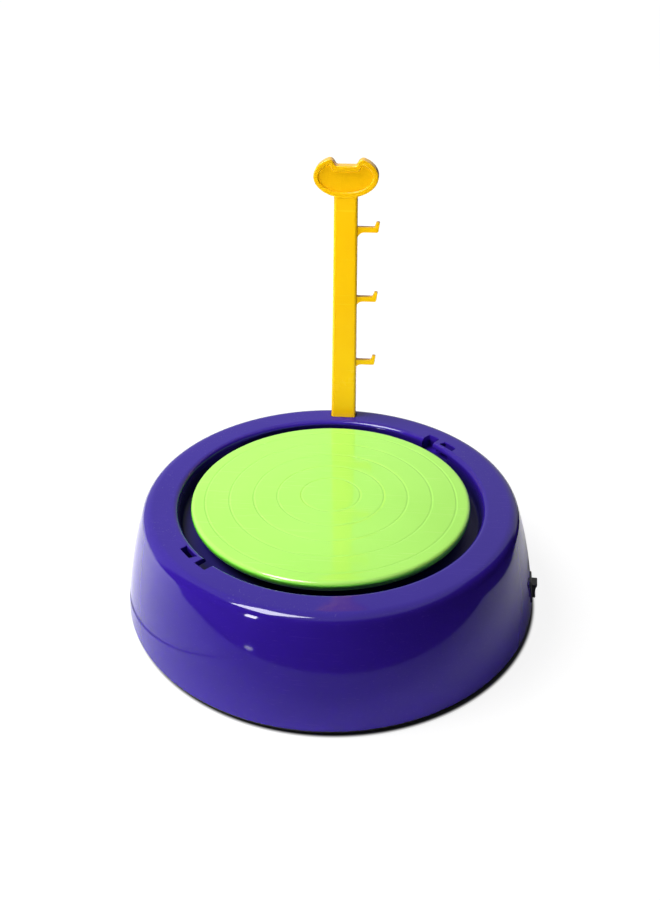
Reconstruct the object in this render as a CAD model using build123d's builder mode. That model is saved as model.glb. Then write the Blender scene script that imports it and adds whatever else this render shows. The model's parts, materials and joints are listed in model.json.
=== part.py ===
# Toy pottery wheel: a round domed base, a driven turntable in a splash bowl and a tool arm that plugs in.
# Millimetres, +Z up, the turntable's axis on Z and the table at Z = 0. The tool arm is on the +Y side.
import os
from math import acos, cos, pi, radians, sin, sqrt, tan

from build123d import *

# Turntable
turntable_radius = 76.0
turntable_top = 60.0
turntable_plate = 3.0
turntable_skirt_height = 6.0
turntable_skirt_wall = 2.2
turntable_edge_round = 1.5
ring_groove_radii = (16.2, 29.2, 42.1, 55.2, 68.3)
ring_groove_half_width = 0.55
turntable_rib_count = 8
turntable_rib_thickness = 1.6
turntable_hub_radius = 7.5
turntable_hub_bottom = 54.1
collar_outer_radius = 12.6
collar_inner_radius = 10.6
collar_bottom = 49.5

# Housing
base_radius = 115.5
base_waist = (109.7, 31.9)
housing_bottom = 3.0
housing_wall = 2.4
rim_corner = (100.4, 60.8)
rim_corner_round = 6.5
rim_inner_radius = 83.0
rim_inner_round = 3.0
rim_thickness = 2.6
shoulder_inset = 3.1
shoulder_drop = 5.2
inner_rim_inset = 4.8
inner_waist_drop = 1.0
bowl_floor_radius = 82.0
bowl_floor_top = 47.5
bowl_floor_round = 2.0
bowl_floor_thickness = 2.5
bowl_boss_radius = 9.0
bowl_boss_top = 52.5

# Bayonet slots in the rim: an entry down from the top, then a run clockwise under a tab (angles in degrees)
bayonet_angles = (49.9, 229.9)
bayonet_entry_half = 3.0
bayonet_pocket_near = 5.0
bayonet_pocket_far = 12.0
bayonet_outer_radius = 89.4
bayonet_pocket_inner_radius = 85.7
bayonet_floor = 52.6
bayonet_tab_thickness = 3.0
bayonet_liner = 2.0

# Base plate, feet and the screws that close the housing
plate_bottom = 1.0
plate_thickness = 2.0
plate_radius = 114.4
spigot_outer_radius = 111.4
spigot_wall = 2.0
spigot_top = 6.4
foot_radius = 7.0
foot_circle = 100.0
foot_recess = 1.0
foot_angles = (18, 90, 162, 234, 306)
screw_circle = 93.0
screw_angles = (54, 126, 198, 270, 342)
screw_boss_radius = 4.0
screw_boss_bottom = 9.0
screw_post_radius = 5.5
screw_seat = 6.4
screw_head_radius = 3.0
screw_head_height = 2.2
screw_shank_radius = 1.5
screw_top = 20.0
screw_clearance = 0.05
blind_hole_spare = 1.0
cross_slot_share = 0.25
foot_gap = 0.1
foot_edge_round = 0.4

# Battery box
cell_radius = 7.1
cell_length = 49.2
cell_nub_radius = 2.7
cell_nub_length = 1.2
cell_pitch = 15.0
cell_axis_height = 10.6
cell_count = 4
box_half_width = 31.0
box_back = -15.0
box_front = -74.0
box_roof = 18.6
box_wall = 3.5
box_roof_thickness = 1.8
door_ledge = 2.0
door_gap = 0.3
door_ear_x = 36.5
door_ear_radius = 5.0
ear_boss_width = 8.0
ear_boss_top = 13.0
ear_rib_share = 0.94
door_screw_radius = 1.2
door_screw_head_radius = 2.4
door_screw_head_height = 1.2
door_screw_taper = 45
grip_count = 5
grip_pitch = 4.0
grip_length = 24.0
grip_width = 1.6
grip_depth = 0.6
cell_edge_round = 0.6
contact_thickness = 0.5
contact_gap = 0.1
contact_half_width = 5.5
contact_half_height = 6.0
tab_width = 5.0
tab_top = 21.5
spring_wire_radius = 0.4
spring_wide_radius = 5.0
spring_narrow_radius = 2.8
spring_turns = 4

# Gear train: one tooth size throughout, stub teeth at 25 degrees
gear_module = 0.8
pressure_angle = radians(25)
tooth_addendum = 0.8
tooth_dedendum = 1.05
tooth_backlash = 0.12
pinion_teeth = 10
idler_wheel_teeth = 45
idler_pinion_teeth = 12
drive_teeth = 75
idler_direction = 30.0
motor_direction = 80.0
lower_layer = (34.2, 38.2)
upper_layer = (39.5, 44.0)

# Gear plate, spindle and bearings
gear_plate_bottom = 30.0
gear_plate_thickness = 2.5
gear_plate_screw_points = ((-34.0, 12.0), (8.0, -38.0), (66.0, 27.0), (17.0, 63.0))
spindle_radius = 3.0
spindle_bottom = 26.0
spindle_top = 58.0
spindle_clearance = 0.05
idler_axle_radius = 1.5
axle_top = 48.8
axle_boss_radius = 4.0
gear_plate_corner = 6.0
small_screw_head_radius = 2.6
small_screw_head_height = 2.0
fit_gap = 0.01
hub_step = 0.5
pinion_overhang = 0.3
idler_hub_radius = 3.5
idler_hole_count = 5
idler_hole_circle = 10.8
idler_hole_radius = 3.0
drive_hub_radius = 6.5
drive_hub_bottom = 33.6
drive_hole_count = 6
drive_hole_circle = 18.0
drive_hole_radius = 6.0
drive_pin_height = 36.5
drive_pin_radius = 1.0
spindle_chamfer = 0.4
clip_bottom = 29.15
clip_thickness = 0.7
clip_gap = 0.05
clip_groove_radius = 2.3
clip_radius = 5.2
clip_mouth_share = 0.8
lower_bush_radius = 4.5
lower_bush_flange = 6.5
bush_flange_thickness = 1.0
washer_radius = 6.8
washer_bottom = 53.55
axle_boss_cover = 1.8
small_boss_radius = 3.6
small_screw_radius = 1.1
gear_plate_screw_top = 40.5
bush_radius = 5.0
bush_flange_radius = 7.5

# Motor: a flat-sided can standing under the gear plate
motor_radius = 10.0
motor_half_thickness = 7.5
motor_bottom = 5.0
motor_cap_height = 3.5
motor_wall = 0.9
motor_shaft_radius = 1.0
motor_shaft_top = 38.9
motor_boss_radius = 3.1
motor_boss_top = 31.6
motor_bearing_radius = 3.0
motor_collar_gap = 0.15
motor_collar_wall = 1.75
motor_collar_bottom = 24.0
terminal_height = 6.6
terminal_thickness = 0.6
terminal_width = 2.6
terminal_inner = 5.0
terminal_outer = 13.5
magnet_heights = (10.5, 27.5)
magnet_outer_radius = 9.0
magnet_inner_radius = 6.6
magnet_half_width = 5.2
armature_heights = (12.0, 26.0)
armature_radius = 6.0
armature_poles = 3
armature_slot = 1.6
commutator_radius = 2.4
commutator_bottom = 9.0
motor_pad_radius = 6.0
motor_rib_length = 12.0
motor_rib_thickness = 1.6
motor_rib_top = 10.0

# Rocker switch, tilted with the wall
switch_angle = -7.0
switch_height = 14.2
switch_wall_radius = 113.35
switch_tilt = 10.8
switch_flange = (10.5, 15.0)
switch_flange_thickness = 0.9
switch_body_size = (8.4, 12.8)
switch_body_depth = 12.5
switch_gap = 0.15
switch_cavity = (7.2, 11.0)
switch_cavity_depth = 5.1
switch_corner = 1.0
switch_edge_round = 0.6
switch_terminal_rise = 3.5
switch_terminal_width = 4.8
switch_terminal_thickness = 0.8
switch_terminal_length = 7.0
rocker_half_length = 4.6
rocker_half_width = 3.4
rocker_tilt = 10.0
rocker_pivot_depth = 1.0
rocker_pin_radius = 0.9
rocker_pin_half_length = 3.9
rocker_end_rise = 4.4
rocker_middle_rise = 3.5
rocker_draft = 0.4
rocker_keel = 1.6
rocker_keel_depth = 2.6
rocker_edge_round = 0.5

# Tool arm
arm_front = 89.4
arm_depth = 7.0
arm_foot_width = 15.5
arm_neck_width = 13.0
arm_neck_height = 196.0
arm_socket_floor = 30.0
arm_socket_gap = 0.2
arm_socket_wall = 2.0
arm_edge_round = 1.6
head_centre_height = 205.5
head_half_width = 17.7
head_half_height = 10.8
head_border = 2.6
head_recess = 1.2
head_proud = 0.4
recess_inset = 1.2
recess_round = 0.9
notch_floor_height = 211.2
notch_floor_width = 11.0
notch_top_width = 15.0
hook_heights = (97.4, 137.4, 177.4)
hook_reach = 19.2
hook_thickness = 3.0
hook_tip_height = 3.0
hook_tip_width = 1.7
hook_depth = 3.2
hook_root_overlap = 1.5
hook_gusset = 4.0
hook_lean = 0.8
hook_heel = 1.0
horn_round = 1.8
notch_round = 1.5
pocket_bottom = 64.0
pocket_top = 192.0
pocket_count = 6
pocket_rib = 1.6
pocket_wall = 2.4
pocket_depth = 4.2

# Lead wires
wire_radius = 0.8
wire_arc_share = 0.45
tab_lead = 3.5
tab_bend = 2.5
terminal_lead = 6.0
switch_lead = 8.0

os.makedirs("parts", exist_ok=True)


def save(built, label):
    built.part.label = label
    export_step(built.part, f"parts/{label}.step")
    print(label, len(built.part.solids()), "solids", round(built.part.volume, 1), "mm3")


def polar(radius, angle):
    return (radius * cos(radians(angle)), radius * sin(radians(angle)))


def circles_of(built, radius):
    # The round edges of one radius
    return built.edges().filter_by(GeomType.CIRCLE).filter_by(lambda edge: abs(edge.radius - radius) < 0.01)


def upright_plane(angle):
    # A plane through the Z axis: local X runs outwards at this angle, local Y is up
    return Plane(origin=(0, 0, 0), x_dir=(*polar(1, angle), 0), z_dir=(*polar(1, angle - 90), 0))


def ring_sector(start, end, radii, heights, mode=Mode.ADD):
    # A block bent round the Z axis between two angles
    with BuildSketch(upright_plane(start)) as section:
        with BuildLine():
            Polyline(
                (radii[0], heights[0]),
                (radii[1], heights[0]),
                (radii[1], heights[1]),
                (radii[0], heights[1]),
                close=True,
            )
        make_face()
    revolve(section.sketch, axis=Axis.Z, revolution_arc=end - start, mode=mode)


def columns(points, radius, bottom, top, mode=Mode.ADD):
    # Round upright columns, or holes, at a list of points
    with BuildSketch(Plane.XY.offset(bottom)) as section:
        with Locations(*points):
            Circle(radius)
    extrude(section.sketch, amount=top - bottom, mode=mode)


def block(middle, size, bottom, top, mode=Mode.ADD):
    # A rectangular upright block, or pocket
    with BuildSketch(Plane.XY.offset(bottom)) as section:
        with Locations(middle):
            Rectangle(*size)
    extrude(section.sketch, amount=top - bottom, mode=mode)


def sleeve(middle, outer_radius, inner_radius, bottom, top):
    # A round upright tube
    with BuildSketch(Plane.XY.offset(bottom)) as section:
        with Locations(middle):
            Circle(outer_radius)
            Circle(inner_radius, mode=Mode.SUBTRACT)
    extrude(section.sketch, amount=top - bottom)


def gear_face(teeth):
    # A spur gear outline with its first tooth on +X
    # Each involute flank is one arc through three of its points
    pitch_radius = gear_module * teeth / 2
    base_circle = pitch_radius * cos(pressure_angle)
    tip_radius = pitch_radius + tooth_addendum * gear_module
    root_radius = pitch_radius - tooth_dedendum * gear_module
    half_pitch_tooth = pi / (2 * teeth) - tooth_backlash / (4 * pitch_radius)

    def half_tooth(radius):
        angle = acos(base_circle / radius)
        return half_pitch_tooth + tan(pressure_angle) - pressure_angle - tan(angle) + angle

    flank_start = max(base_circle, root_radius)
    flank_radii = (flank_start, (flank_start + tip_radius) / 2, tip_radius)

    def at(radius, angle):
        return (radius * cos(angle), radius * sin(angle))

    with BuildSketch() as gear:
        with BuildLine():
            for tooth in range(teeth):
                middle = 2 * pi * tooth / teeth
                rising = [at(r, middle - half_tooth(r)) for r in flank_radii]
                falling = [at(r, middle + half_tooth(r)) for r in reversed(flank_radii)]
                root_in = at(root_radius, middle - half_tooth(flank_start))
                root_out = at(root_radius, middle + half_tooth(flank_start))
                next_root = at(root_radius, middle + 2 * pi / teeth - half_tooth(flank_start))
                if flank_start > root_radius:
                    Line(root_in, rising[0])
                ThreePointArc(*rising)
                ThreePointArc(rising[2], at(tip_radius, middle), falling[0])
                ThreePointArc(*falling)
                if flank_start > root_radius:
                    Line(falling[2], root_out)
                ThreePointArc(root_out, at(root_radius, middle + pi / teeth), next_root)
        make_face()
    return gear.sketch


# Places worked out from the driving dimensions
inside_rim = turntable_top - rim_thickness / 2
inner_shoulder = (rim_corner[0] - shoulder_inset, rim_corner[1] - shoulder_drop)
inner_waist = (base_waist[0] - housing_wall, base_waist[1] - inner_waist_drop)
inner_base = (base_radius - housing_wall, housing_bottom)
above_rim = turntable_top + 4 * rim_thickness
plate_top = plate_bottom + plate_thickness
screw_points = [polar(screw_circle, angle) for angle in screw_angles]
foot_points = [polar(foot_circle, angle) for angle in foot_angles]
bowl_underside = bowl_floor_top - bowl_floor_thickness
inside_bowl_floor = bowl_floor_top - bowl_floor_thickness / 2
motor_cap_top = motor_bottom + motor_cap_height
gear_plate_top = gear_plate_bottom + gear_plate_thickness
drive_distance = gear_module * (drive_teeth + idler_pinion_teeth) / 2
motor_distance = gear_module * (pinion_teeth + idler_wheel_teeth) / 2
idler_at = Vector(*polar(drive_distance, idler_direction))
motor_at = idler_at + Vector(*polar(motor_distance, motor_direction))
box_middle = (box_back + box_front) / 2
box_length = box_back - box_front
cell_rows = [cell_pitch * (i - (cell_count - 1) / 2) for i in range(cell_count)]
door_ears = [(door_ear_x, box_middle), (-door_ear_x, box_middle)]
door_half_width = box_half_width + door_ledge - door_gap
door_length = box_length + 2 * (door_ledge - door_gap)
switch_point = Vector(*polar(switch_wall_radius, switch_angle), switch_height)
switch_tangent = Vector(*polar(1, switch_angle + 90))
switch_normal = Vector(*polar(cos(radians(switch_tilt)), switch_angle), sin(radians(switch_tilt)))
switch_plane = Plane(origin=switch_point, x_dir=switch_tangent, z_dir=switch_normal)
switch_axis = Axis(switch_point, switch_normal)
rocker_plane = Plane(origin=switch_point, x_dir=switch_plane.y_dir, z_dir=switch_tangent)
arm_middle = arm_front + arm_depth / 2


def cell_heading(index):
    # Which way a cell's positive end points along Y: the cells lie head to tail
    return 1 if index % 2 == 0 else -1


def contact_face(heading):
    # The inner face of the contacts at the back (heading 1) or the front (heading -1) of the box
    wall = box_back if heading > 0 else box_front
    return wall - heading * (contact_gap + contact_thickness)


def cell_end(index):
    # The flat negative end of a cell, whose positive end touches its contact
    heading = cell_heading(index)
    return contact_face(heading) - heading * (cell_length + cell_nub_length)


# Housing: one revolved shell, then its bosses, socket, bayonet slots and switch hole
with BuildPart() as housing:
    with BuildSketch(Plane.XZ):
        with BuildLine():
            ThreePointArc((base_radius, housing_bottom), base_waist, rim_corner)
            Polyline(
                rim_corner,
                (rim_inner_radius, turntable_top),
                (bowl_floor_radius, bowl_floor_top),
                (bowl_boss_radius, bowl_floor_top),
                (bowl_boss_radius, bowl_boss_top),
                (bush_radius, bowl_boss_top),
                (bush_radius, bowl_underside),
                (bowl_floor_radius + housing_wall, bowl_underside),
                (rim_inner_radius + housing_wall, turntable_top - rim_thickness),
                (rim_corner[0] - inner_rim_inset, rim_corner[1] - rim_thickness),
                inner_shoulder,
            )
            ThreePointArc(inner_shoulder, inner_waist, inner_base)
            Line(inner_base, (base_radius, housing_bottom))
        make_face()
    revolve(axis=Axis.Z)
    fillet(circles_of(housing, rim_corner[0]), rim_corner_round)
    fillet(circles_of(housing, rim_inner_radius), rim_inner_round)
    fillet(circles_of(housing, bowl_floor_radius), bowl_floor_round)
    columns(screw_points, screw_boss_radius, screw_boss_bottom, inside_rim)
    columns(
        screw_points,
        screw_shank_radius + screw_clearance,
        screw_boss_bottom,
        screw_top + blind_hole_spare,
        Mode.SUBTRACT,
    )
    columns(gear_plate_screw_points, small_boss_radius, gear_plate_top, inside_bowl_floor)
    columns(
        gear_plate_screw_points,
        small_screw_radius + screw_clearance,
        gear_plate_top,
        gear_plate_screw_top + blind_hole_spare,
        Mode.SUBTRACT,
    )
    columns([idler_at], axle_boss_radius, bowl_underside, axle_top + axle_boss_cover)
    columns([idler_at], idler_axle_radius, bowl_underside, axle_top, Mode.SUBTRACT)
    arm_socket_rim = 2 * (arm_socket_gap + arm_socket_wall)
    block(
        (0, arm_middle),
        (arm_foot_width + arm_socket_rim, arm_depth + arm_socket_rim),
        arm_socket_floor - arm_socket_wall,
        inside_rim,
    )
    block(
        (0, arm_middle),
        (arm_foot_width + 2 * arm_socket_gap, arm_depth + 2 * arm_socket_gap),
        arm_socket_floor,
        above_rim,
        Mode.SUBTRACT,
    )
    for angle in bayonet_angles:
        run_end = angle - bayonet_pocket_far
        entry_start = angle - bayonet_entry_half
        entry_end = angle + bayonet_entry_half
        slot_radii = (bowl_floor_radius - bayonet_liner, bayonet_outer_radius)
        ring_sector(
            run_end - bayonet_liner,
            entry_end + bayonet_liner,
            (rim_inner_radius + housing_wall / 2, bayonet_outer_radius + bayonet_liner),
            (bayonet_floor - bayonet_liner, inside_rim),
        )
        ring_sector(entry_start, entry_end, slot_radii, (bayonet_floor, above_rim), Mode.SUBTRACT)
        ring_sector(
            run_end,
            entry_start,
            slot_radii,
            (bayonet_floor, turntable_top - bayonet_tab_thickness),
            Mode.SUBTRACT,
        )
        ring_sector(
            run_end,
            angle - bayonet_pocket_near,
            (bayonet_pocket_inner_radius, bayonet_outer_radius),
            (bayonet_floor, above_rim),
            Mode.SUBTRACT,
        )
    with BuildSketch(switch_plane):
        Rectangle(switch_flange[0] + 2 * switch_gap, switch_flange[1] + 2 * switch_gap)
    extrude(amount=2 * housing_wall, mode=Mode.SUBTRACT)
    with BuildSketch(switch_plane):
        Rectangle(switch_body_size[0] + 2 * switch_gap, switch_body_size[1] + 2 * switch_gap)
    extrude(amount=-2 * housing_wall, mode=Mode.SUBTRACT)
save(housing, "housing")


# Base plate with its spigot, battery box, screw posts, foot recesses and motor ribs
with BuildPart() as base_plate:
    with BuildSketch(Plane.XY.offset(plate_bottom)):
        Circle(plate_radius)
        with Locations((0, box_middle)):
            Rectangle(2 * (door_half_width + door_gap), door_length + 2 * door_gap, mode=Mode.SUBTRACT)
        with Locations(*door_ears):
            Circle(door_ear_radius + door_gap, mode=Mode.SUBTRACT)
    extrude(amount=plate_thickness)
    sleeve((0, 0), spigot_outer_radius, spigot_outer_radius - spigot_wall, plate_top, spigot_top)
    block(
        (0, box_middle),
        (2 * (box_half_width + box_wall), box_length + 2 * box_wall),
        plate_top,
        box_roof + box_roof_thickness,
    )
    for ear in door_ears:
        rib_middle = (ear[0] * ear_rib_share, box_middle)
        block(rib_middle, (door_ear_radius, ear_boss_width), plate_top, ear_boss_top)
    columns(door_ears, ear_boss_width / 2, plate_top, ear_boss_top)
    door_screw_top = ear_boss_top - 2 * blind_hole_spare
    columns(
        door_ears,
        door_screw_radius + screw_clearance,
        plate_top,
        door_screw_top + blind_hole_spare,
        Mode.SUBTRACT,
    )
    block((0, box_middle), (2 * box_half_width, box_length), plate_top, box_roof, Mode.SUBTRACT)
    for row in (cell_rows[0], cell_rows[-1]):
        block(
            (row, box_back - contact_gap - contact_thickness / 2),
            (tab_width + 2 * contact_gap, contact_thickness + 2 * contact_gap),
            box_roof,
            box_roof + box_roof_thickness,
            Mode.SUBTRACT,
        )
    columns(screw_points, screw_post_radius, plate_top, screw_boss_bottom)
    columns(screw_points, screw_head_radius + door_gap, plate_bottom, screw_seat, Mode.SUBTRACT)
    columns(screw_points, screw_shank_radius + door_gap, screw_seat, screw_boss_bottom, Mode.SUBTRACT)
    columns(foot_points, foot_radius + foot_gap, plate_bottom, plate_bottom + foot_recess, Mode.SUBTRACT)
    columns([motor_at], motor_pad_radius, plate_top, motor_bottom)
    for side in (-1, 1):
        rib_offset = side * (motor_half_thickness + door_gap + motor_rib_thickness / 2)
        block(
            (motor_at.X, motor_at.Y + rib_offset),
            (motor_rib_length, motor_rib_thickness),
            plate_top,
            motor_rib_top,
        )
save(base_plate, "base_plate")


# Rubber feet, a round pad in each recess
with BuildPart() as rubber_feet:
    columns(foot_points, foot_radius, 0, plate_bottom + foot_recess)
    fillet(rubber_feet.faces().sort_by(Axis.Z)[: len(foot_points)].edges(), foot_edge_round)
save(rubber_feet, "rubber_feet")


def cross_recess(points, face_height, size, depth):
    # The driver's cross in each screw head, cut up from below
    with BuildSketch(Plane.XY.offset(face_height)) as section:
        with Locations(*points):
            Rectangle(size, size * cross_slot_share)
            Rectangle(size * cross_slot_share, size)
    extrude(section.sketch, amount=depth, mode=Mode.SUBTRACT)


# Housing screws, up through the base plate into the housing's bosses
with BuildPart() as housing_screws:
    columns(screw_points, screw_head_radius, screw_seat - screw_head_height, screw_seat)
    columns(screw_points, screw_shank_radius, screw_seat, screw_top)
    cross_recess(screw_points, screw_seat - screw_head_height, screw_head_radius, screw_head_height / 2)
save(housing_screws, "housing_screws")


# Battery door, flush in the base plate
with BuildPart() as battery_door:
    with BuildSketch(Plane.XY.offset(plate_bottom)):
        with Locations((0, box_middle)):
            Rectangle(2 * door_half_width, door_length)
        with Locations(*door_ears):
            Circle(door_ear_radius)
    extrude(amount=plate_thickness)
    with BuildSketch(Plane.XY.offset(plate_bottom)):
        with Locations((0, box_middle)):
            with GridLocations(0, grip_pitch, 1, grip_count):
                SlotOverall(grip_length, grip_width)
    extrude(amount=grip_depth, mode=Mode.SUBTRACT)
    columns(door_ears, door_screw_radius + screw_clearance, plate_bottom, plate_top, Mode.SUBTRACT)
    for ear in door_ears:
        with BuildSketch(Plane.XY.offset(plate_bottom)) as wide_end:
            with Locations(ear):
                Circle(door_screw_head_radius + screw_clearance)
        extrude(wide_end.sketch, amount=door_screw_head_height, taper=door_screw_taper, mode=Mode.SUBTRACT)
save(battery_door, "battery_door")


# Battery door screws with sunk heads
with BuildPart() as battery_door_screws:
    for ear in door_ears:
        with BuildSketch(Plane.XY.offset(plate_bottom)) as head:
            with Locations(ear):
                Circle(door_screw_head_radius)
        extrude(head.sketch, amount=door_screw_head_height, taper=door_screw_taper)
    columns(door_ears, door_screw_radius, plate_bottom + door_screw_head_height / 2, door_screw_top)
    cross_recess(door_ears, plate_bottom, door_screw_head_radius, door_screw_head_height / 2)
save(battery_door_screws, "battery_door_screws")


# Battery cells, head to tail
with BuildPart() as battery_cells:
    for index, row in enumerate(cell_rows):
        flat_end = (row, cell_end(index), cell_axis_height)
        end_plane = Plane(origin=flat_end, z_dir=(0, cell_heading(index), 0))
        with BuildSketch(end_plane) as can:
            Circle(cell_radius)
        extrude(can.sketch, amount=cell_length)
        with BuildSketch(end_plane.offset(cell_length)) as nub:
            Circle(cell_nub_radius)
        extrude(nub.sketch, amount=cell_nub_length)
    fillet(circles_of(battery_cells, cell_radius), cell_edge_round)
save(battery_cells, "battery_cells")


def quarter_turn(start, start_tangent, end, end_tangent):
    # Two arcs that leave the start along its tangent, meet smoothly and reach the end along its tangent
    reach = end - start
    tangents = start_tangent + end_tangent
    spread = 2 * (1 - start_tangent.dot(end_tangent))
    lean = reach.dot(tangents)
    arm = (sqrt(lean * lean + spread * reach.dot(reach)) - lean) / spread
    meeting = (start + start_tangent * arm + end - end_tangent * arm) * 0.5
    TangentArc(start, meeting, tangent=start_tangent)
    TangentArc(meeting, end, tangent=-end_tangent, tangent_from_first=False)


# Battery springs: a cone of wire between each cell's flat end and its contact
spring_space = box_length - 2 * (contact_gap + contact_thickness) - cell_length - cell_nub_length
spring_height = spring_space - 2 * spring_wire_radius
spring_quarters = 4 * spring_turns


def spring_point(quarter):
    share = quarter / spring_quarters
    radius = spring_wide_radius + (spring_narrow_radius - spring_wide_radius) * share
    return Vector(*polar(radius, 90 * quarter), spring_wire_radius + spring_height * share)


def spring_tangent(quarter):
    radius = spring_wide_radius + (spring_narrow_radius - spring_wide_radius) * quarter / spring_quarters
    shrink = (spring_narrow_radius - spring_wide_radius) / (2 * pi * spring_turns)
    climb = spring_height / (2 * pi * spring_turns)
    outward = Vector(*polar(1, 90 * quarter))
    around = Vector(*polar(1, 90 * quarter + 90))
    return (around * radius + outward * shrink + Vector(0, 0, climb)).normalized()


with BuildPart() as one_spring:
    with BuildLine() as spring_path:
        for quarter in range(spring_quarters):
            quarter_turn(
                spring_point(quarter),
                spring_tangent(quarter),
                spring_point(quarter + 1),
                spring_tangent(quarter + 1),
            )
    with BuildSketch(Plane(origin=spring_point(0), z_dir=spring_tangent(0))):
        Circle(spring_wire_radius)
    sweep()
print("spring volume", one_spring.part.volume, pi * spring_wire_radius**2 * spring_path.wire().length)

with BuildPart() as battery_springs:
    for index, row in enumerate(cell_rows):
        heading = cell_heading(index)
        seat = Plane(origin=(row, contact_face(-heading), cell_axis_height), z_dir=(0, heading, 0))
        add(seat * one_spring.part)
save(battery_springs, "battery_springs")


def contact_strip(first_row, last_row, heading):
    # A flat contact across one cell end, or bridging two
    with BuildSketch(Plane.XZ.offset(-contact_face(heading))) as section:
        with Locations(((first_row + last_row) / 2, cell_axis_height)):
            Rectangle(last_row - first_row + 2 * contact_half_width, 2 * contact_half_height)
    extrude(section.sketch, amount=-heading * contact_thickness)


# Battery contacts at the front: two bridges
with BuildPart() as battery_contacts_front:
    contact_strip(cell_rows[0], cell_rows[1], -1)
    contact_strip(cell_rows[2], cell_rows[3], -1)
save(battery_contacts_front, "battery_contacts_front")


# Battery contacts at the back: one bridge between two ends whose solder tabs come out through the roof
with BuildPart() as battery_contacts_back:
    contact_strip(cell_rows[1], cell_rows[2], 1)
    for row in (cell_rows[0], cell_rows[3]):
        contact_strip(row, row, 1)
        block(
            (row, contact_face(1) + contact_thickness / 2),
            (tab_width, contact_thickness),
            cell_axis_height,
            tab_top,
        )
save(battery_contacts_back, "battery_contacts_back")


def motor_outline(grow):
    # The flat-sided motor's outline, grown or shrunk all round
    with BuildSketch() as outline:
        Circle(motor_radius + grow)
        Rectangle(2 * (motor_radius + grow), 2 * (motor_half_thickness + grow), mode=Mode.INTERSECT)
    return outline.sketch


def motor_layer(grow, bottom, top, mode=Mode.ADD):
    # A slice of the motor's outline between two heights
    with BuildSketch(Plane.XY.offset(bottom)) as section:
        with Locations((motor_at.X, motor_at.Y)):
            add(motor_outline(grow))
    extrude(section.sketch, amount=top - bottom, mode=mode)


# Gear plate under the gears, with a collar round the motor's head
with BuildPart() as gear_plate:
    motor_layer(motor_collar_wall, motor_collar_bottom, gear_plate_bottom)
    motor_layer(motor_collar_gap, motor_collar_bottom, gear_plate_bottom, Mode.SUBTRACT)
    with BuildSketch(Plane.XY.offset(gear_plate_bottom)):
        with Locations(*gear_plate_screw_points):
            Circle(gear_plate_corner)
        make_hull()
    extrude(amount=gear_plate_thickness)
    columns([(0, 0)], lower_bush_radius, gear_plate_bottom, gear_plate_top, Mode.SUBTRACT)
    columns([idler_at], idler_axle_radius, gear_plate_bottom, gear_plate_top, Mode.SUBTRACT)
    motor_hole = motor_boss_radius + motor_collar_gap
    columns([motor_at], motor_hole, gear_plate_bottom, gear_plate_top, Mode.SUBTRACT)
    columns(
        gear_plate_screw_points,
        small_screw_radius + door_gap,
        gear_plate_bottom,
        gear_plate_top,
        Mode.SUBTRACT,
    )
save(gear_plate, "gear_plate")


# Gear plate screws, up into the bosses under the bowl
with BuildPart() as gear_plate_screws:
    columns(
        gear_plate_screw_points,
        small_screw_head_radius,
        gear_plate_bottom - small_screw_head_height,
        gear_plate_bottom,
    )
    columns(gear_plate_screw_points, small_screw_radius, gear_plate_bottom, gear_plate_screw_top)
    cross_recess(
        gear_plate_screw_points,
        gear_plate_bottom - small_screw_head_height,
        small_screw_head_radius,
        small_screw_head_height / 2,
    )
save(gear_plate_screws, "gear_plate_screws")


# Motor can, open below
with BuildPart() as motor_can:
    motor_layer(0, motor_cap_top, gear_plate_bottom)
    motor_layer(-motor_wall, motor_cap_top, gear_plate_bottom - motor_wall, Mode.SUBTRACT)
    columns([motor_at], motor_boss_radius, gear_plate_bottom - motor_wall, motor_boss_top)
    columns(
        [motor_at],
        motor_shaft_radius + spindle_clearance,
        gear_plate_bottom - motor_wall,
        motor_boss_top,
        Mode.SUBTRACT,
    )
save(motor_can, "motor_can")


# Motor end cap with the shaft's lower bearing and a slot for each terminal
with BuildPart() as motor_end_cap:
    motor_layer(0, motor_bottom, motor_cap_top)
    block(
        (motor_at.X, motor_at.Y),
        (4 * motor_radius, terminal_width),
        terminal_height,
        terminal_height + terminal_thickness,
        Mode.SUBTRACT,
    )
    columns([motor_at], motor_bearing_radius, motor_bottom + motor_wall, motor_cap_top)
    columns(
        [motor_at],
        motor_shaft_radius + spindle_clearance,
        motor_bottom + motor_wall,
        motor_cap_top,
        Mode.SUBTRACT,
    )
save(motor_end_cap, "motor_end_cap")


# Motor terminals, one out of each round side of the cap
with BuildPart() as motor_terminals:
    for side in (-1, 1):
        block(
            (motor_at.X + side * (terminal_inner + terminal_outer) / 2, motor_at.Y),
            (terminal_outer - terminal_inner, terminal_width),
            terminal_height,
            terminal_height + terminal_thickness,
        )
save(motor_terminals, "motor_terminals")


# Motor magnets, one in each round side of the can
with BuildPart() as motor_magnets:
    with BuildSketch(Plane.XY.offset(magnet_heights[0])):
        with Locations((motor_at.X, motor_at.Y)):
            Circle(magnet_outer_radius)
            Circle(magnet_inner_radius, mode=Mode.SUBTRACT)
            Rectangle(2 * motor_radius, 2 * magnet_half_width, mode=Mode.INTERSECT)
    extrude(amount=magnet_heights[1] - magnet_heights[0])
save(motor_magnets, "motor_magnets")


# Motor shaft
with BuildPart() as motor_shaft:
    columns([motor_at], motor_shaft_radius, motor_bottom + 2 * motor_wall, motor_shaft_top)
save(motor_shaft, "motor_shaft")


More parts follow.
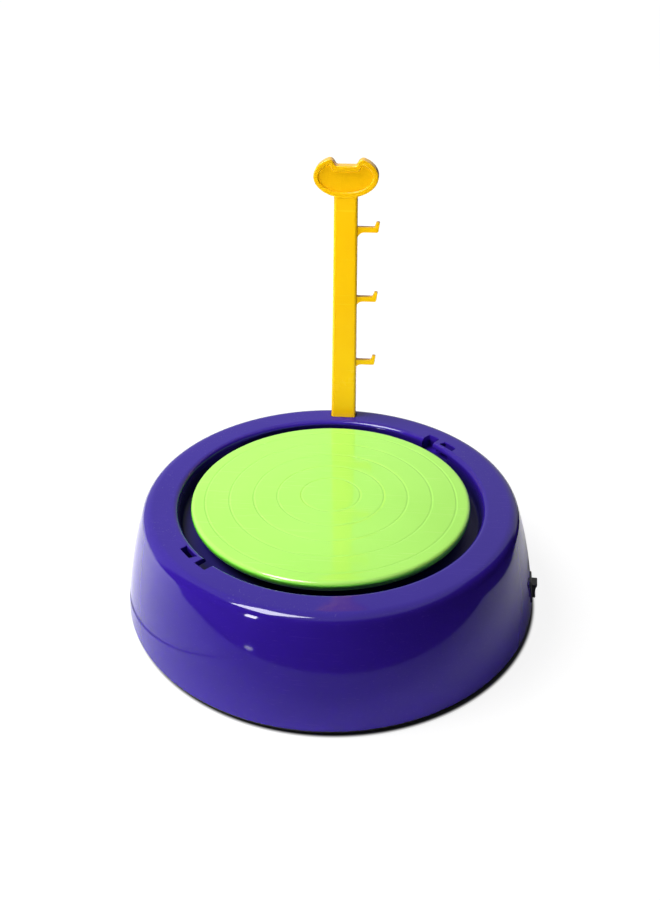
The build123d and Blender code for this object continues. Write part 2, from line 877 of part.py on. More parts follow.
# Motor armature: three poles and the commutator on one collar
with BuildPart() as motor_armature:
    columns([motor_at], armature_radius, armature_heights[0], armature_heights[1])
    with BuildSketch(Plane.XY.offset(armature_heights[0])):
        with Locations((motor_at.X, motor_at.Y)):
            with PolarLocations(armature_radius, armature_poles):
                Rectangle(armature_radius, armature_slot)
    extrude(amount=armature_heights[1] - armature_heights[0], mode=Mode.SUBTRACT)
    columns([motor_at], commutator_radius, commutator_bottom, armature_heights[0])
    columns([motor_at], motor_shaft_radius, commutator_bottom, armature_heights[1], Mode.SUBTRACT)
save(motor_armature, "motor_armature")


def toothed_layer(middle, teeth, turn, bottom, top):
    # One gear wheel between two heights, turned so that its teeth mesh
    with BuildSketch(Plane.XY.offset(bottom)) as section:
        with Locations((middle.X, middle.Y)):
            add(gear_face(teeth), rotation=turn)
    extrude(section.sketch, amount=top - bottom)


# Motor pinion, with a gap facing the idler's tooth
with BuildPart() as motor_pinion:
    pinion_heights = (lower_layer[0] - pinion_overhang, lower_layer[1] + pinion_overhang)
    pinion_turn = motor_direction + 180 + 180 / pinion_teeth
    toothed_layer(motor_at, pinion_teeth, pinion_turn, *pinion_heights)
    columns([motor_at], motor_shaft_radius + fit_gap, *pinion_heights, Mode.SUBTRACT)
save(motor_pinion, "motor_pinion")


# Idler: the large wheel the motor turns and the small one that turns the drive gear, in one piece
with BuildPart() as idler_gear:
    idler_heights = (gear_plate_top + hub_step, upper_layer[1] + hub_step)
    toothed_layer(idler_at, idler_wheel_teeth, motor_direction, *lower_layer)
    with BuildSketch(Plane.XY.offset(lower_layer[0])):
        with Locations((idler_at.X, idler_at.Y)):
            with PolarLocations(idler_hole_circle, idler_hole_count):
                Circle(idler_hole_radius)
    extrude(amount=lower_layer[1] - lower_layer[0], mode=Mode.SUBTRACT)
    idler_pinion_turn = idler_direction + 180 + 180 / idler_pinion_teeth
    toothed_layer(idler_at, idler_pinion_teeth, idler_pinion_turn, lower_layer[1], idler_heights[1])
    columns([idler_at], idler_hub_radius, idler_heights[0], lower_layer[0])
    columns([idler_at], idler_axle_radius + spindle_clearance, *idler_heights, Mode.SUBTRACT)
save(idler_gear, "idler_gear")


# Idler axle, from the gear plate up into the bowl's blind boss
with BuildPart() as idler_axle:
    columns([idler_at], idler_axle_radius - fit_gap, gear_plate_bottom, axle_top - hub_step)
save(idler_axle, "idler_axle")


# Drive gear on the spindle, with a tooth facing the idler
with BuildPart() as drive_gear:
    drive_hub_heights = (drive_hub_bottom, upper_layer[1] + hub_step)
    toothed_layer(Vector(0, 0), drive_teeth, idler_direction, *upper_layer)
    with BuildSketch(Plane.XY.offset(upper_layer[0])):
        with PolarLocations(drive_hole_circle, drive_hole_count):
            Circle(drive_hole_radius)
    extrude(amount=upper_layer[1] - upper_layer[0], mode=Mode.SUBTRACT)
    columns([(0, 0)], drive_hub_radius, *drive_hub_heights)
    columns([(0, 0)], spindle_radius + fit_gap, *drive_hub_heights, Mode.SUBTRACT)
    with BuildSketch(Plane.YZ):
        with Locations((0, drive_pin_height)):
            Circle(drive_pin_radius + fit_gap)
    extrude(amount=drive_hub_radius + hub_step, both=True, mode=Mode.SUBTRACT)
save(drive_gear, "drive_gear")


# Drive pin, across the spindle
with BuildPart() as drive_pin:
    with BuildSketch(Plane.YZ):
        with Locations((0, drive_pin_height)):
            Circle(drive_pin_radius)
    extrude(amount=drive_hub_radius - hub_step / 2, both=True)
save(drive_pin, "drive_pin")


# Spindle with its clip groove and pin hole
with BuildPart() as spindle:
    columns([(0, 0)], spindle_radius, spindle_bottom, spindle_top)
    chamfer(circles_of(spindle, spindle_radius), spindle_chamfer)
    with BuildSketch(Plane.XY.offset(clip_bottom - clip_gap)):
        Circle(2 * spindle_radius)
        Circle(clip_groove_radius, mode=Mode.SUBTRACT)
    extrude(amount=clip_thickness + 2 * clip_gap, mode=Mode.SUBTRACT)
    with BuildSketch(Plane.YZ):
        with Locations((0, drive_pin_height)):
            Circle(drive_pin_radius + fit_gap)
    extrude(amount=2 * spindle_radius, both=True, mode=Mode.SUBTRACT)
save(spindle, "spindle")


# Spindle clip, an open ring in the groove
with BuildPart() as spindle_clip:
    sleeve((0, 0), clip_radius, clip_groove_radius + fit_gap, clip_bottom, clip_bottom + clip_thickness)
    block(
        (0, -clip_radius / 2),
        (2 * clip_groove_radius * clip_mouth_share, clip_radius),
        clip_bottom,
        clip_bottom + clip_thickness,
        Mode.SUBTRACT,
    )
save(spindle_clip, "spindle_clip")


# Lower bush in the gear plate, flange upwards
with BuildPart() as lower_bush:
    bush_bore = spindle_radius + spindle_clearance
    sleeve((0, 0), lower_bush_radius - fit_gap, bush_bore, gear_plate_bottom, gear_plate_top)
    sleeve((0, 0), lower_bush_flange, bush_bore, gear_plate_top, gear_plate_top + bush_flange_thickness)
save(lower_bush, "lower_bush")


# Upper bush in the bowl's boss, flange upwards
with BuildPart() as upper_bush:
    sleeve((0, 0), bush_radius - fit_gap, bush_bore, bowl_underside, bowl_boss_top)
    sleeve((0, 0), bush_flange_radius, bush_bore, bowl_boss_top, bowl_boss_top + bush_flange_thickness)
save(upper_bush, "upper_bush")


# Thrust washer between the upper bush and the turntable's hub
with BuildPart() as thrust_washer:
    sleeve((0, 0), washer_radius, bush_bore, washer_bottom, turntable_hub_bottom - fit_gap)
save(thrust_washer, "thrust_washer")


# Turntable: grooved plate, skirt, hub, splash collar and ribs
with BuildPart() as turntable:
    plate_underside = turntable_top - turntable_plate
    skirt_bottom = turntable_top - turntable_skirt_height
    rib_length = turntable_radius - collar_inner_radius - turntable_skirt_wall
    columns([(0, 0)], turntable_radius, plate_underside, turntable_top)
    sleeve((0, 0), turntable_radius, turntable_radius - turntable_skirt_wall, skirt_bottom, plate_underside)
    sleeve((0, 0), collar_outer_radius, collar_inner_radius, collar_bottom, plate_underside)
    with BuildSketch(Plane.XY.offset(skirt_bottom)):
        with PolarLocations(0, turntable_rib_count):
            with Locations(((collar_inner_radius + turntable_radius) / 2, 0)):
                Rectangle(rib_length, turntable_rib_thickness)
    extrude(amount=plate_underside - skirt_bottom)
    columns([(0, 0)], turntable_hub_radius, turntable_hub_bottom, plate_underside)
    columns([(0, 0)], spindle_radius + fit_gap, turntable_hub_bottom, spindle_top + fit_gap, Mode.SUBTRACT)
    top_edge = circles_of(turntable, turntable_radius).sort_by(Axis.Z)[-1]
    fillet(top_edge, turntable_edge_round)
    with BuildSketch(Plane.XZ):
        with Locations(*[(radius, turntable_top) for radius in ring_groove_radii]):
            Circle(ring_groove_half_width)
    revolve(axis=Axis.Z, mode=Mode.SUBTRACT)
save(turntable, "turntable")


# Switch body: flange outside the wall, body inside, and the rocker's well with a pin hole in each cheek
with BuildPart() as switch_body:
    with BuildSketch(switch_plane):
        RectangleRounded(*switch_flange, switch_corner)
    extrude(amount=switch_flange_thickness)
    fillet(switch_body.faces().sort_by(switch_axis)[-1].edges(), switch_edge_round)
    with BuildSketch(switch_plane):
        Rectangle(*switch_body_size)
    extrude(amount=-switch_body_depth)
    with BuildSketch(switch_plane.offset(switch_flange_thickness)):
        Rectangle(*switch_cavity)
    extrude(amount=-switch_cavity_depth, mode=Mode.SUBTRACT)
    with BuildSketch(rocker_plane):
        with Locations((0, -rocker_pivot_depth)):
            Circle(rocker_pin_radius + spindle_clearance)
    extrude(amount=rocker_pin_half_length + spindle_clearance, both=True, mode=Mode.SUBTRACT)
save(switch_body, "switch_body")


# Switch rocker, upper end out, on two stub pins
with BuildPart() as switch_rocker:
    with BuildSketch(rocker_plane):
        with Locations((0, -rocker_pivot_depth)):
            Polygon(
                (-rocker_half_length, rocker_end_rise),
                (0, rocker_middle_rise),
                (rocker_half_length, rocker_end_rise),
                (rocker_half_length - rocker_draft, -rocker_pin_radius),
                (rocker_keel, -rocker_keel_depth),
                (-rocker_keel, -rocker_keel_depth),
                (-rocker_half_length + rocker_draft, -rocker_pin_radius),
                rotation=rocker_tilt,
                align=None,
            )
    extrude(amount=rocker_half_width, both=True)
    end_edges = switch_rocker.edges().filter_by(Axis(switch_point, switch_tangent)).sort_by(switch_axis)
    fillet(end_edges[-2:], rocker_edge_round)
    with BuildSketch(rocker_plane):
        with Locations((0, -rocker_pivot_depth)):
            Circle(rocker_pin_radius)
    extrude(amount=rocker_pin_half_length, both=True)
save(switch_rocker, "switch_rocker")


# Switch terminals at the back of the body
with BuildPart() as switch_terminals:
    with BuildSketch(switch_plane.offset(-switch_body_depth)):
        with Locations((0, switch_terminal_rise), (0, -switch_terminal_rise)):
            Rectangle(switch_terminal_width, switch_terminal_thickness)
    extrude(amount=-switch_terminal_length)
save(switch_terminals, "switch_terminals")


def lead_wire(points):
    # A round wire through a list of points, each corner an arc as large as its two runs allow
    points = [Vector(*point) for point in points]
    radii = []
    for before, corner, after in zip(points, points[1:], points[2:]):
        turn = (corner - before).get_angle(after - corner)
        shorter_run = min((corner - before).length, (after - corner).length)
        radii.append(wire_arc_share * shorter_run / tan(radians(turn) / 2))
    with BuildLine() as path:
        FilletPolyline(*points, radius=radii)
    with BuildSketch(Plane(origin=points[0], z_dir=points[1] - points[0])) as end:
        Circle(wire_radius)
    sweep(end.sketch, path=path.wire())
    print("wire radii", [round(radius, 1) for radius in radii], "length", round(path.wire().length, 1))


def switch_tip(side, lead=0):
    # The free end of the upper (1) or lower (-1) switch terminal, or a point straight behind it
    reach = switch_body_depth + switch_terminal_length + lead
    return switch_plane.from_local_coords(Vector(0, side * switch_terminal_rise, -reach))


def battery_tab(row, lead=0):
    # The top of a battery contact's solder tab, or a point straight above it
    return Vector(row, contact_face(1) + contact_thickness / 2, tab_top + lead)


def motor_tip(side, lead=0):
    # The free end of the right (1) or left (-1) motor terminal, or a point straight beyond it
    tip_height = terminal_height + terminal_thickness / 2
    return Vector(motor_at.X + side * (terminal_outer + lead), motor_at.Y, tip_height)


# Lead wires, laid round the gears from terminal to terminal and leaving each one straight
with BuildPart() as wire_battery_to_switch:
    lead_wire(
        [
            battery_tab(cell_rows[0]),
            battery_tab(cell_rows[0], tab_lead),
            battery_tab(cell_rows[0], tab_lead + tab_bend) + Vector(tab_bend, 0, 0),
            (-7, -21, 26.6),
            (22, -25, 26),
            (52, -22, 22),
            (72, -14, 16),
            switch_tip(1, switch_lead),
            switch_tip(1),
        ]
    )
save(wire_battery_to_switch, "wire_battery_to_switch")

with BuildPart() as wire_switch_to_motor:
    lead_wire(
        [
            switch_tip(-1),
            switch_tip(-1, switch_lead),
            (75, -3, 5),
            (65, 12, 4.8),
            (59, 28, 5.6),
            motor_tip(1, terminal_lead),
            motor_tip(1),
        ]
    )
save(wire_switch_to_motor, "wire_switch_to_motor")

with BuildPart() as wire_motor_to_battery:
    lead_wire(
        [
            motor_tip(-1),
            motor_tip(-1, terminal_lead),
            (6, 33, 8),
            (2, 22, 12.5),
            (6, 8, 19),
            (14, -4, 25),
            battery_tab(cell_rows[3], tab_lead + tab_bend) + Vector(-tab_bend / 2, tab_bend, 0),
            battery_tab(cell_rows[3], tab_lead),
            battery_tab(cell_rows[3]),
        ]
    )
save(wire_motor_to_battery, "wire_motor_to_battery")


# Tool arm: a tapered post in the rim's socket, a notched oval head and three hooks on its right
def arm_half_width(height):
    share = (height - turntable_top) / (arm_neck_height - turntable_top)
    return (arm_foot_width + (arm_neck_width - arm_foot_width) * min(max(share, 0), 1)) / 2


def post_section(width, height):
    # The post's rounded cross-section at one height
    with BuildSketch(Plane.XY.offset(height)) as section:
        with Locations((0, arm_middle)):
            RectangleRounded(width, arm_depth, arm_edge_round)
    return section.sketch


with BuildPart() as tool_arm:
    foot_end = post_section(arm_foot_width, arm_socket_floor)
    foot_top = post_section(arm_foot_width, turntable_top)
    neck = post_section(arm_neck_width, arm_neck_height)
    extrude(foot_end, amount=turntable_top - arm_socket_floor)
    loft([foot_top, neck], ruled=True)
    head_front = arm_front - head_proud
    head_back = arm_front + arm_depth + head_proud
    with BuildSketch(Plane.XZ.offset(-head_front)) as head_outline:
        with Locations((0, head_centre_height)):
            Ellipse(head_half_width, head_half_height)
        notch_top = head_centre_height + 2 * head_half_height
        Polygon(
            (-notch_floor_width / 2, notch_floor_height),
            (notch_floor_width / 2, notch_floor_height),
            (notch_top_width, notch_top),
            (-notch_top_width, notch_top),
            align=None,
            mode=Mode.SUBTRACT,
        )
        horns = head_outline.vertices().group_by(Axis.Y)[-1]
        fillet(horns, horn_round)
        notch_corners = head_outline.vertices().filter_by_position(
            Axis.Y, notch_floor_height - horn_round / 2, notch_floor_height + horn_round / 2
        )
        fillet(notch_corners, notch_round)
    extrude(amount=head_front - head_back)
    for face, inwards in ((head_front, -1), (head_back, 1)):
        with BuildSketch(Plane.XZ.offset(-face)) as recess:
            with Locations((0, head_centre_height)):
                Ellipse(head_half_width - head_border, head_half_height - head_border)
            Polygon(
                (-notch_floor_width / 2 - recess_inset, notch_floor_height - head_border),
                (notch_floor_width / 2 + recess_inset, notch_floor_height - head_border),
                (notch_top_width + head_border, notch_top),
                (-notch_top_width - head_border, notch_top),
                align=None,
                mode=Mode.SUBTRACT,
            )
            fillet(recess.vertices(), recess_round)
        extrude(amount=inwards * head_recess, mode=Mode.SUBTRACT)
    for height in hook_heights:
        side = arm_half_width(height)
        top = height + hook_thickness / 2
        bottom = height - hook_thickness / 2
        with BuildSketch(Plane.XZ.offset(-(arm_middle - hook_depth / 2))):
            with BuildLine():
                Polyline(
                    (side, bottom - hook_gusset),
                    (side - hook_root_overlap, bottom - hook_gusset),
                    (side - hook_root_overlap, top),
                    (hook_reach - hook_tip_width - hook_lean, top),
                    (hook_reach - hook_tip_width, top + hook_tip_height),
                    (hook_reach, top + hook_tip_height),
                    (hook_reach - hook_lean, bottom + hook_heel),
                    (hook_reach - hook_lean - hook_heel, bottom),
                    (side + hook_gusset, bottom),
                )
                RadiusArc((side + hook_gusset, bottom), (side, bottom - hook_gusset), -hook_gusset)
            make_face()
        extrude(amount=-hook_depth)
    pocket_step = (pocket_top - pocket_bottom) / pocket_count
    for pocket in range(pocket_count):
        low = pocket_bottom + pocket * pocket_step
        high = low + pocket_step - pocket_rib
        low_half = arm_half_width(low) - pocket_wall
        high_half = arm_half_width(high) - pocket_wall
        with BuildSketch(Plane.XZ.offset(-(arm_front + arm_depth))):
            Polygon((-low_half, low), (low_half, low), (high_half, high), (-high_half, high), align=None)
        extrude(amount=pocket_depth, mode=Mode.SUBTRACT)
save(tool_arm, "tool_arm")
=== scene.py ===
import json
import math

import bmesh
import bpy
from mathutils import Matrix, Vector


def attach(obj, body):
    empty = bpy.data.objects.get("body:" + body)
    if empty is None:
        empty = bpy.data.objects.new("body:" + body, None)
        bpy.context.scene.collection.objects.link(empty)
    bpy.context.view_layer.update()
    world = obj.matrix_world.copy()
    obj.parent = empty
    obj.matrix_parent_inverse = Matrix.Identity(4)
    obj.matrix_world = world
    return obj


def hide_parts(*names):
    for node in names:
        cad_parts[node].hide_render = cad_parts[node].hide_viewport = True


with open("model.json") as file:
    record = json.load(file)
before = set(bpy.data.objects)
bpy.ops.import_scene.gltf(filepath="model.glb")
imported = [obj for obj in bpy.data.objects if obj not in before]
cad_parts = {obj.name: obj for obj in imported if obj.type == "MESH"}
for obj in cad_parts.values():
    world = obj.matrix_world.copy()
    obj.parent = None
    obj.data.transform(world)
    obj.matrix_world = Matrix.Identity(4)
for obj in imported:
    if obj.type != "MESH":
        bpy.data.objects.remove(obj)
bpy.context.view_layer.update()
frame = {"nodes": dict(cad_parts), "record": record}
cadNodes = frame["nodes"]
scene = bpy.context.scene
metre = 0.001  # pieces are drawn in millimetres and scaled once
weldDistance = 1e-6


def pick(values, *names):
    return [values[name] for name in names]


# node trees

def putNode(tree, kind, sockets=None, **settings):
    node = tree.nodes.new(kind)
    for key, value in settings.items():
        setattr(node, key, value)
    for key, value in (sockets or {}).items():
        if isinstance(value, bpy.types.NodeSocket):
            tree.links.new(value, node.inputs[key])
        else:
            node.inputs[key].default_value = value
    return node


def calc(tree, operation, *values):
    node = putNode(tree, "ShaderNodeMath", dict(enumerate(values)), operation=operation)
    return node.outputs[0]


def combine(tree, x, y, z):
    return putNode(tree, "ShaderNodeCombineXYZ", {0: x, 1: y, 2: z}).outputs[0]


def split(tree, vector):
    return putNode(tree, "ShaderNodeSeparateXYZ", {0: vector}).outputs


def measure(tree, operation, *vectors):
    # what vectors give as one number, such as a length or a distance
    node = putNode(tree, "ShaderNodeVectorMath", dict(enumerate(vectors)), operation=operation)
    return node.outputs["Value"]


def onCircle(tree, radius, angle, height):
    x = calc(tree, "MULTIPLY", radius, calc(tree, "COSINE", angle))
    y = calc(tree, "MULTIPLY", radius, calc(tree, "SINE", angle))
    return combine(tree, x, y, height)


def camelName(label):
    # a socket's label as it is written in a call
    name = label.replace(" ", "")
    return name[0].lower() + name[1:]


def newGroup(name, kind, inputs, outputs):
    tree = bpy.data.node_groups.new(name, kind)
    for label, socketType, start in inputs:
        socket = tree.interface.new_socket(label, in_out="INPUT", socket_type="NodeSocket" + socketType)
        if start is not None:
            socket.default_value = start
    for label, socketType in outputs:
        tree.interface.new_socket(label, in_out="OUTPUT", socket_type="NodeSocket" + socketType)
    entry = tree.nodes.new("NodeGroupInput").outputs
    result = tree.nodes.new("NodeGroupOutput").inputs
    return tree, entry, result


def newShapeTree(name, inputs):
    allInputs = [("Geometry", "Geometry", None), *inputs, ("Finish", "Material", None)]
    return newGroup(name, "GeometryNodeTree", allInputs, [("Geometry", "Geometry")])


def endShapeTree(tree, geometry, entry, result):
    realized = putNode(tree, "GeometryNodeRealizeInstances", {"Geometry": geometry})
    finished = putNode(
        tree, "GeometryNodeSetMaterial", {"Geometry": realized.outputs[0], "Material": entry["Finish"]}
    )
    tree.links.new(finished.outputs[0], result["Geometry"])


def makeSpinTree():
    # an outline in the XZ plane, turned round the Z axis
    tree, entry, result = newShapeTree("spinOutline", [("Segments", "Int", 256), ("Closed", "Int", 1)])
    outline = entry["Geometry"]
    sized = putNode(tree, "GeometryNodeAttributeDomainSize", {"Geometry": outline})
    points = sized.outputs["Point Count"]
    columns = calc(tree, "ADD", points, entry["Closed"])
    rows = calc(tree, "ADD", entry["Segments"], 1)
    grid = putNode(tree, "GeometryNodeMeshGrid", {"Vertices X": columns, "Vertices Y": rows})
    index = putNode(tree, "GeometryNodeInputIndex").outputs[0]
    column = calc(tree, "FLOOR", calc(tree, "DIVIDE", index, rows))
    row = calc(tree, "MODULO", index, rows)
    sample = putNode(
        tree,
        "GeometryNodeSampleIndex",
        {
            "Geometry": outline,
            "Value": putNode(tree, "GeometryNodeInputPosition").outputs[0],
            "Index": calc(tree, "MODULO", column, points),
        },
        data_type="FLOAT_VECTOR",
    )
    parts = split(tree, sample.outputs[0])
    angle = calc(tree, "DIVIDE", calc(tree, "MULTIPLY", row, math.tau), entry["Segments"])
    place = onCircle(tree, parts[0], angle, parts[2])
    turned = putNode(tree, "GeometryNodeSetPosition", {"Geometry": grid.outputs["Mesh"], "Position": place})
    closed = putNode(
        tree, "GeometryNodeMergeByDistance", {"Geometry": turned.outputs[0], "Distance": weldDistance}
    )
    endShapeTree(tree, closed.outputs[0], entry, result)
    return tree


def makeRingTree():
    # copies of one piece round the Z axis
    inputs = [("Count", "Int", 5), ("Radius", "Float", 0.1), ("First Angle", "Float", 0.0)]
    tree, entry, result = newShapeTree("ringOfCopies", inputs)
    index = putNode(tree, "GeometryNodeInputIndex").outputs[0]
    step = calc(tree, "DIVIDE", math.tau, entry["Count"])
    angle = calc(tree, "ADD", calc(tree, "MULTIPLY", index, step), entry["First Angle"])
    spread = putNode(tree, "GeometryNodePoints", {"Count": entry["Count"]})
    place = onCircle(tree, entry["Radius"], angle, 0.0)
    placed = putNode(tree, "GeometryNodeSetPosition", {"Geometry": spread.outputs[0], "Position": place})
    facing = combine(tree, 0.0, 0.0, angle)
    copies = putNode(
        tree,
        "GeometryNodeInstanceOnPoints",
        {"Points": placed.outputs[0], "Instance": entry["Geometry"], "Rotation": facing},
    )
    endShapeTree(tree, copies.outputs[0], entry, result)
    return tree


def makeRowTree():
    # copies of one piece in a straight row
    inputs = [("Count", "Int", 3), ("Step", "Vector", (0.0, 0.0, 0.04))]
    tree, entry, result = newShapeTree("rowOfCopies", inputs)
    line = putNode(tree, "GeometryNodeMeshLine", {"Count": entry["Count"], "Offset": entry["Step"]})
    copies = putNode(
        tree, "GeometryNodeInstanceOnPoints", {"Points": line.outputs[0], "Instance": entry["Geometry"]}
    )
    endShapeTree(tree, copies.outputs[0], entry, result)
    return tree


def boolean(tree, operation, sockets=None):
    return putNode(tree, "GeometryNodeMeshBoolean", sockets, operation=operation, solver="EXACT")


def makeJoinTree():
    # solids added to a piece, then holes cut from it, with a crease left wherever faces meet more sharply
    # than the crease angle
    inputs = [("Added", "Object", None), ("Removed", "Object", None), ("Crease Angle", "Float", 0.6)]
    tree, entry, result = newShapeTree("addAndCut", inputs)
    solids = []
    for name in ("Added", "Removed"):
        shells = putNode(tree, "GeometryNodeObjectInfo", {"Object": entry[name]}).outputs["Geometry"]
        solid = boolean(tree, "UNION", {"Mesh 2": shells, "Self Intersection": True})
        solids.append(solid.outputs["Mesh"])
    union = boolean(tree, "UNION")
    for solid in (entry["Geometry"], solids[0]):
        tree.links.new(solid, union.inputs["Mesh 2"])
    cut = boolean(tree, "DIFFERENCE", {"Mesh 1": union.outputs["Mesh"], "Mesh 2": solids[1]})
    smooth = putNode(tree, "GeometryNodeSetShadeSmooth", {"Geometry": cut.outputs["Mesh"]}).outputs[0]
    turn = putNode(tree, "GeometryNodeInputMeshEdgeAngle").outputs["Unsigned Angle"]
    crease = calc(tree, "GREATER_THAN", turn, entry["Crease Angle"])
    sharp = putNode(
        tree,
        "GeometryNodeSetShadeSmooth",
        {"Geometry": smooth, "Selection": crease, "Shade Smooth": False},
        domain="EDGE",
    )
    endShapeTree(tree, sharp.outputs[0], entry, result)
    return tree


spinTree = makeSpinTree()
ringTree = makeRingTree()
rowTree = makeRowTree()
joinTree = makeJoinTree()
print("shape trees built")


# outlines and solids

def arcThrough(start, middle, end, steps):
    # points on the circle through three points
    a, b, c = Vector(start), Vector(middle), Vector(end)
    twice = 2 * (a.x * (b.y - c.y) + b.x * (c.y - a.y) + c.x * (a.y - b.y))
    aa, bb, cc = a.dot(a), b.dot(b), c.dot(c)
    centre = Vector((
        (aa * (b.y - c.y) + bb * (c.y - a.y) + cc * (a.y - b.y)) / twice,
        (aa * (c.x - b.x) + bb * (a.x - c.x) + cc * (b.x - a.x)) / twice,
    ))
    first = math.atan2(a.y - centre.y, a.x - centre.x)
    sweep = -(a - centre).angle_signed(c - centre)
    radius = (a - centre).length
    angles = [first + sweep * step / steps for step in range(steps + 1)]
    return [centre + radius * Vector((math.cos(angle), math.sin(angle))) for angle in angles]


def roundCorners(corners, steps=6):
    # corners are (x, y) or (x, y, radius), and a corner with a radius becomes an arc
    outline = []
    for i, corner in enumerate(corners):
        here = Vector(corner[:2])
        radius = corner[2] if len(corner) > 2 else 0
        if not radius:
            outline.append(here)
            continue
        back = (Vector(corners[i - 1][:2]) - here).normalized()
        ahead = (Vector(corners[(i + 1) % len(corners)][:2]) - here).normalized()
        half = back.angle(ahead) / 2
        reach = radius / math.tan(half)
        centre = here + (back + ahead).normalized() * radius / math.sin(half)
        start = here + back * reach - centre
        sweep = -start.angle_signed(here + ahead * reach - centre)
        for step in range(steps + 1):
            turn = sweep * step / steps
            outline.append(centre + Matrix.Rotation(turn, 2) @ start)
    return outline


def divide(outline, longest):
    # no stretch longer than this, so that smooth shading stays true beside the rounds
    divided = []
    for here, ahead in zip(outline, outline[1:]):
        count = max(1, math.ceil((ahead - here).length / longest))
        divided += [here.lerp(ahead, step / count) for step in range(count)]
    return divided + [outline[-1]]


def grow(outline, distance, sharpest=0.3):
    # an anticlockwise outline moved outwards, with a limit to how far a sharp corner goes
    grown = []
    for i, here in enumerate(outline):
        before = (here - outline[i - 1]).normalized()
        after = (outline[(i + 1) % len(outline)] - here).normalized()
        along = (before + after).normalized()
        outward = Vector((along.y, -along.x))
        grown.append(here + outward * distance / max(along.dot(after), sharpest))
    return grown


def oval(halfWidth, halfHeight, steps=48, middle=(0, 0)):
    outline = []
    for step in range(steps):
        angle = math.tau * step / steps
        x, y = halfWidth * math.cos(angle), halfHeight * math.sin(angle)
        outline.append(Vector((middle[0] + x, middle[1] + y)))
    return outline


def rectangle(width, height, corner=0.0, middle=(0, 0), steps=5):
    x, y = width / 2, height / 2
    corners = [(-x, -y, corner), (x, -y, corner), (x, y, corner), (-x, y, corner)]
    return [Vector(middle) + point for point in roundCorners(corners, steps)]


def polar(radius, degrees):
    angle = math.radians(degrees)
    return Vector((math.cos(angle), math.sin(angle))) * radius


def sector(startAngle, endAngle, innerRadius, outerRadius, corner=0.0, stepAngle=0.75):
    # a block bent round the Z axis, in plan, with its two outer corners trimmed
    steps = math.ceil((endAngle - startAngle) / stepAngle)
    trim = math.degrees(corner / outerRadius)
    span = endAngle - startAngle - 2 * trim
    outline = []
    for step in range(steps + 1):
        outline.append(polar(innerRadius, endAngle + (startAngle - endAngle) * step / steps))
    for step in range(steps + 1):
        share = step / steps
        outline.append(polar(outerRadius, startAngle + trim + span * share))
    return outline


def stackRings(bm, rings, place=None, hollow=False):
    # a solid through rings of points, each with the same count, and closed by caps or on itself
    place = place or Matrix()
    rows = [[bm.verts.new(place @ Vector(point)) for point in ring] for ring in rings]
    following = rows[1:] + rows[:1] if hollow else rows[1:]
    for low, high in zip(rows, following):
        for i in range(len(low)):
            j = (i + 1) % len(low)
            bm.faces.new((low[i], low[j], high[j], high[i]))
    if not hollow:
        bm.faces.new(rows[0][::-1])
        bm.faces.new(rows[-1])


def atHeight(outline, height):
    return [(point.x, point.y, height) for point in outline]


def quarterRound(radius, steps):
    # how far a rounded edge still draws in and how far it has risen, from its flat to its side
    turns = [math.pi / 2 * step / steps for step in range(steps + 1)]
    return [(radius * (1 - math.sin(turn)), radius * (1 - math.cos(turn))) for turn in turns]


def addSlab(bm, outline, low, high, edge=0.0, place=None, steps=4):
    # an outline given thickness, with rounded edges
    rings = quarterRound(edge, steps) if edge else [(0.0, 0.0)]
    lower = [atHeight(grow(outline, -inset), low + rise) for inset, rise in rings]
    upper = [atHeight(grow(outline, -inset), high - rise) for inset, rise in reversed(rings)]
    stackRings(bm, lower + upper, place)


def addFlaredCut(bm, outline, floor, surface, lip, floorRound=0.0, place=None, steps=5, clear=4.0):
    # a hole's solid whose mouth opens in a rounded lip; surface gives the height of the mouth at a point
    foot = quarterRound(floorRound, steps) if floorRound else [(0.0, 0.0)]
    rings = [atHeight(grow(outline, -inset), floor + rise) for inset, rise in foot]
    mouth = [surface(point) for point in outline]
    for drop, flare in quarterRound(lip, steps):
        rings.append([(p.x, p.y, height - drop) for p, height in zip(grow(outline, flare), mouth)])
    rings.append([(p.x, p.y, height + clear) for p, height in zip(grow(outline, lip), mouth)])
    stackRings(bm, rings, place)


def addColumn(bm, middle, radius, low, high, sides=32):
    addSlab(bm, oval(radius, radius, sides, middle), low, high)


def newPiece(name, mesh):
    piece = bpy.data.objects.new(name, mesh)
    scene.collection.objects.link(piece)
    return piece


def pieceFromSolid(name, bm):
    # millimetres to metres, normals outwards
    bmesh.ops.recalc_face_normals(bm, faces=bm.faces)
    mesh = bpy.data.meshes.new(name)
    bm.to_mesh(mesh)
    bm.free()
    mesh.transform(Matrix.Scale(metre, 4))
    return newPiece(name, mesh)


def pieceFromOutline(name, outline):
    mesh = bpy.data.meshes.new(name)
    mesh.from_pydata([(point.x * metre, 0, point.y * metre) for point in outline], [], [])
    return newPiece(name, mesh)


def freeze(piece):
    # the evaluated result becomes the plain mesh, and the modifiers go
    graph = bpy.context.evaluated_depsgraph_get()
    solid = bpy.data.meshes.new_from_object(piece.evaluated_get(graph))
    piece.modifiers.clear()
    old = piece.data
    piece.data = solid
    bpy.data.meshes.remove(old)
    solid.name = piece.name


def runTree(piece, tree, **values):
    modifier = piece.modifiers.new(tree.name, "NODES")
    modifier.node_group = tree
    for item in tree.interface.items_tree:
        name = camelName(item.name)
        if item.in_out == "INPUT" and name in values:
            modifier[item.identifier] = values[name]
    freeze(piece)


def outwards(piece):
    # after a spin: doubles merged, then normals turned outwards
    bm = bmesh.new()
    bm.from_mesh(piece.data)
    bmesh.ops.remove_doubles(bm, verts=bm.verts, dist=weldDistance)
    bmesh.ops.recalc_face_normals(bm, faces=bm.faces)
    bm.to_mesh(piece.data)
    bm.free()
    return piece


def spin(name, outline, finish, segments, closed=True):
    piece = pieceFromOutline(name, outline)
    runTree(piece, spinTree, segments=segments, closed=int(closed), finish=finish)
    return outwards(piece)


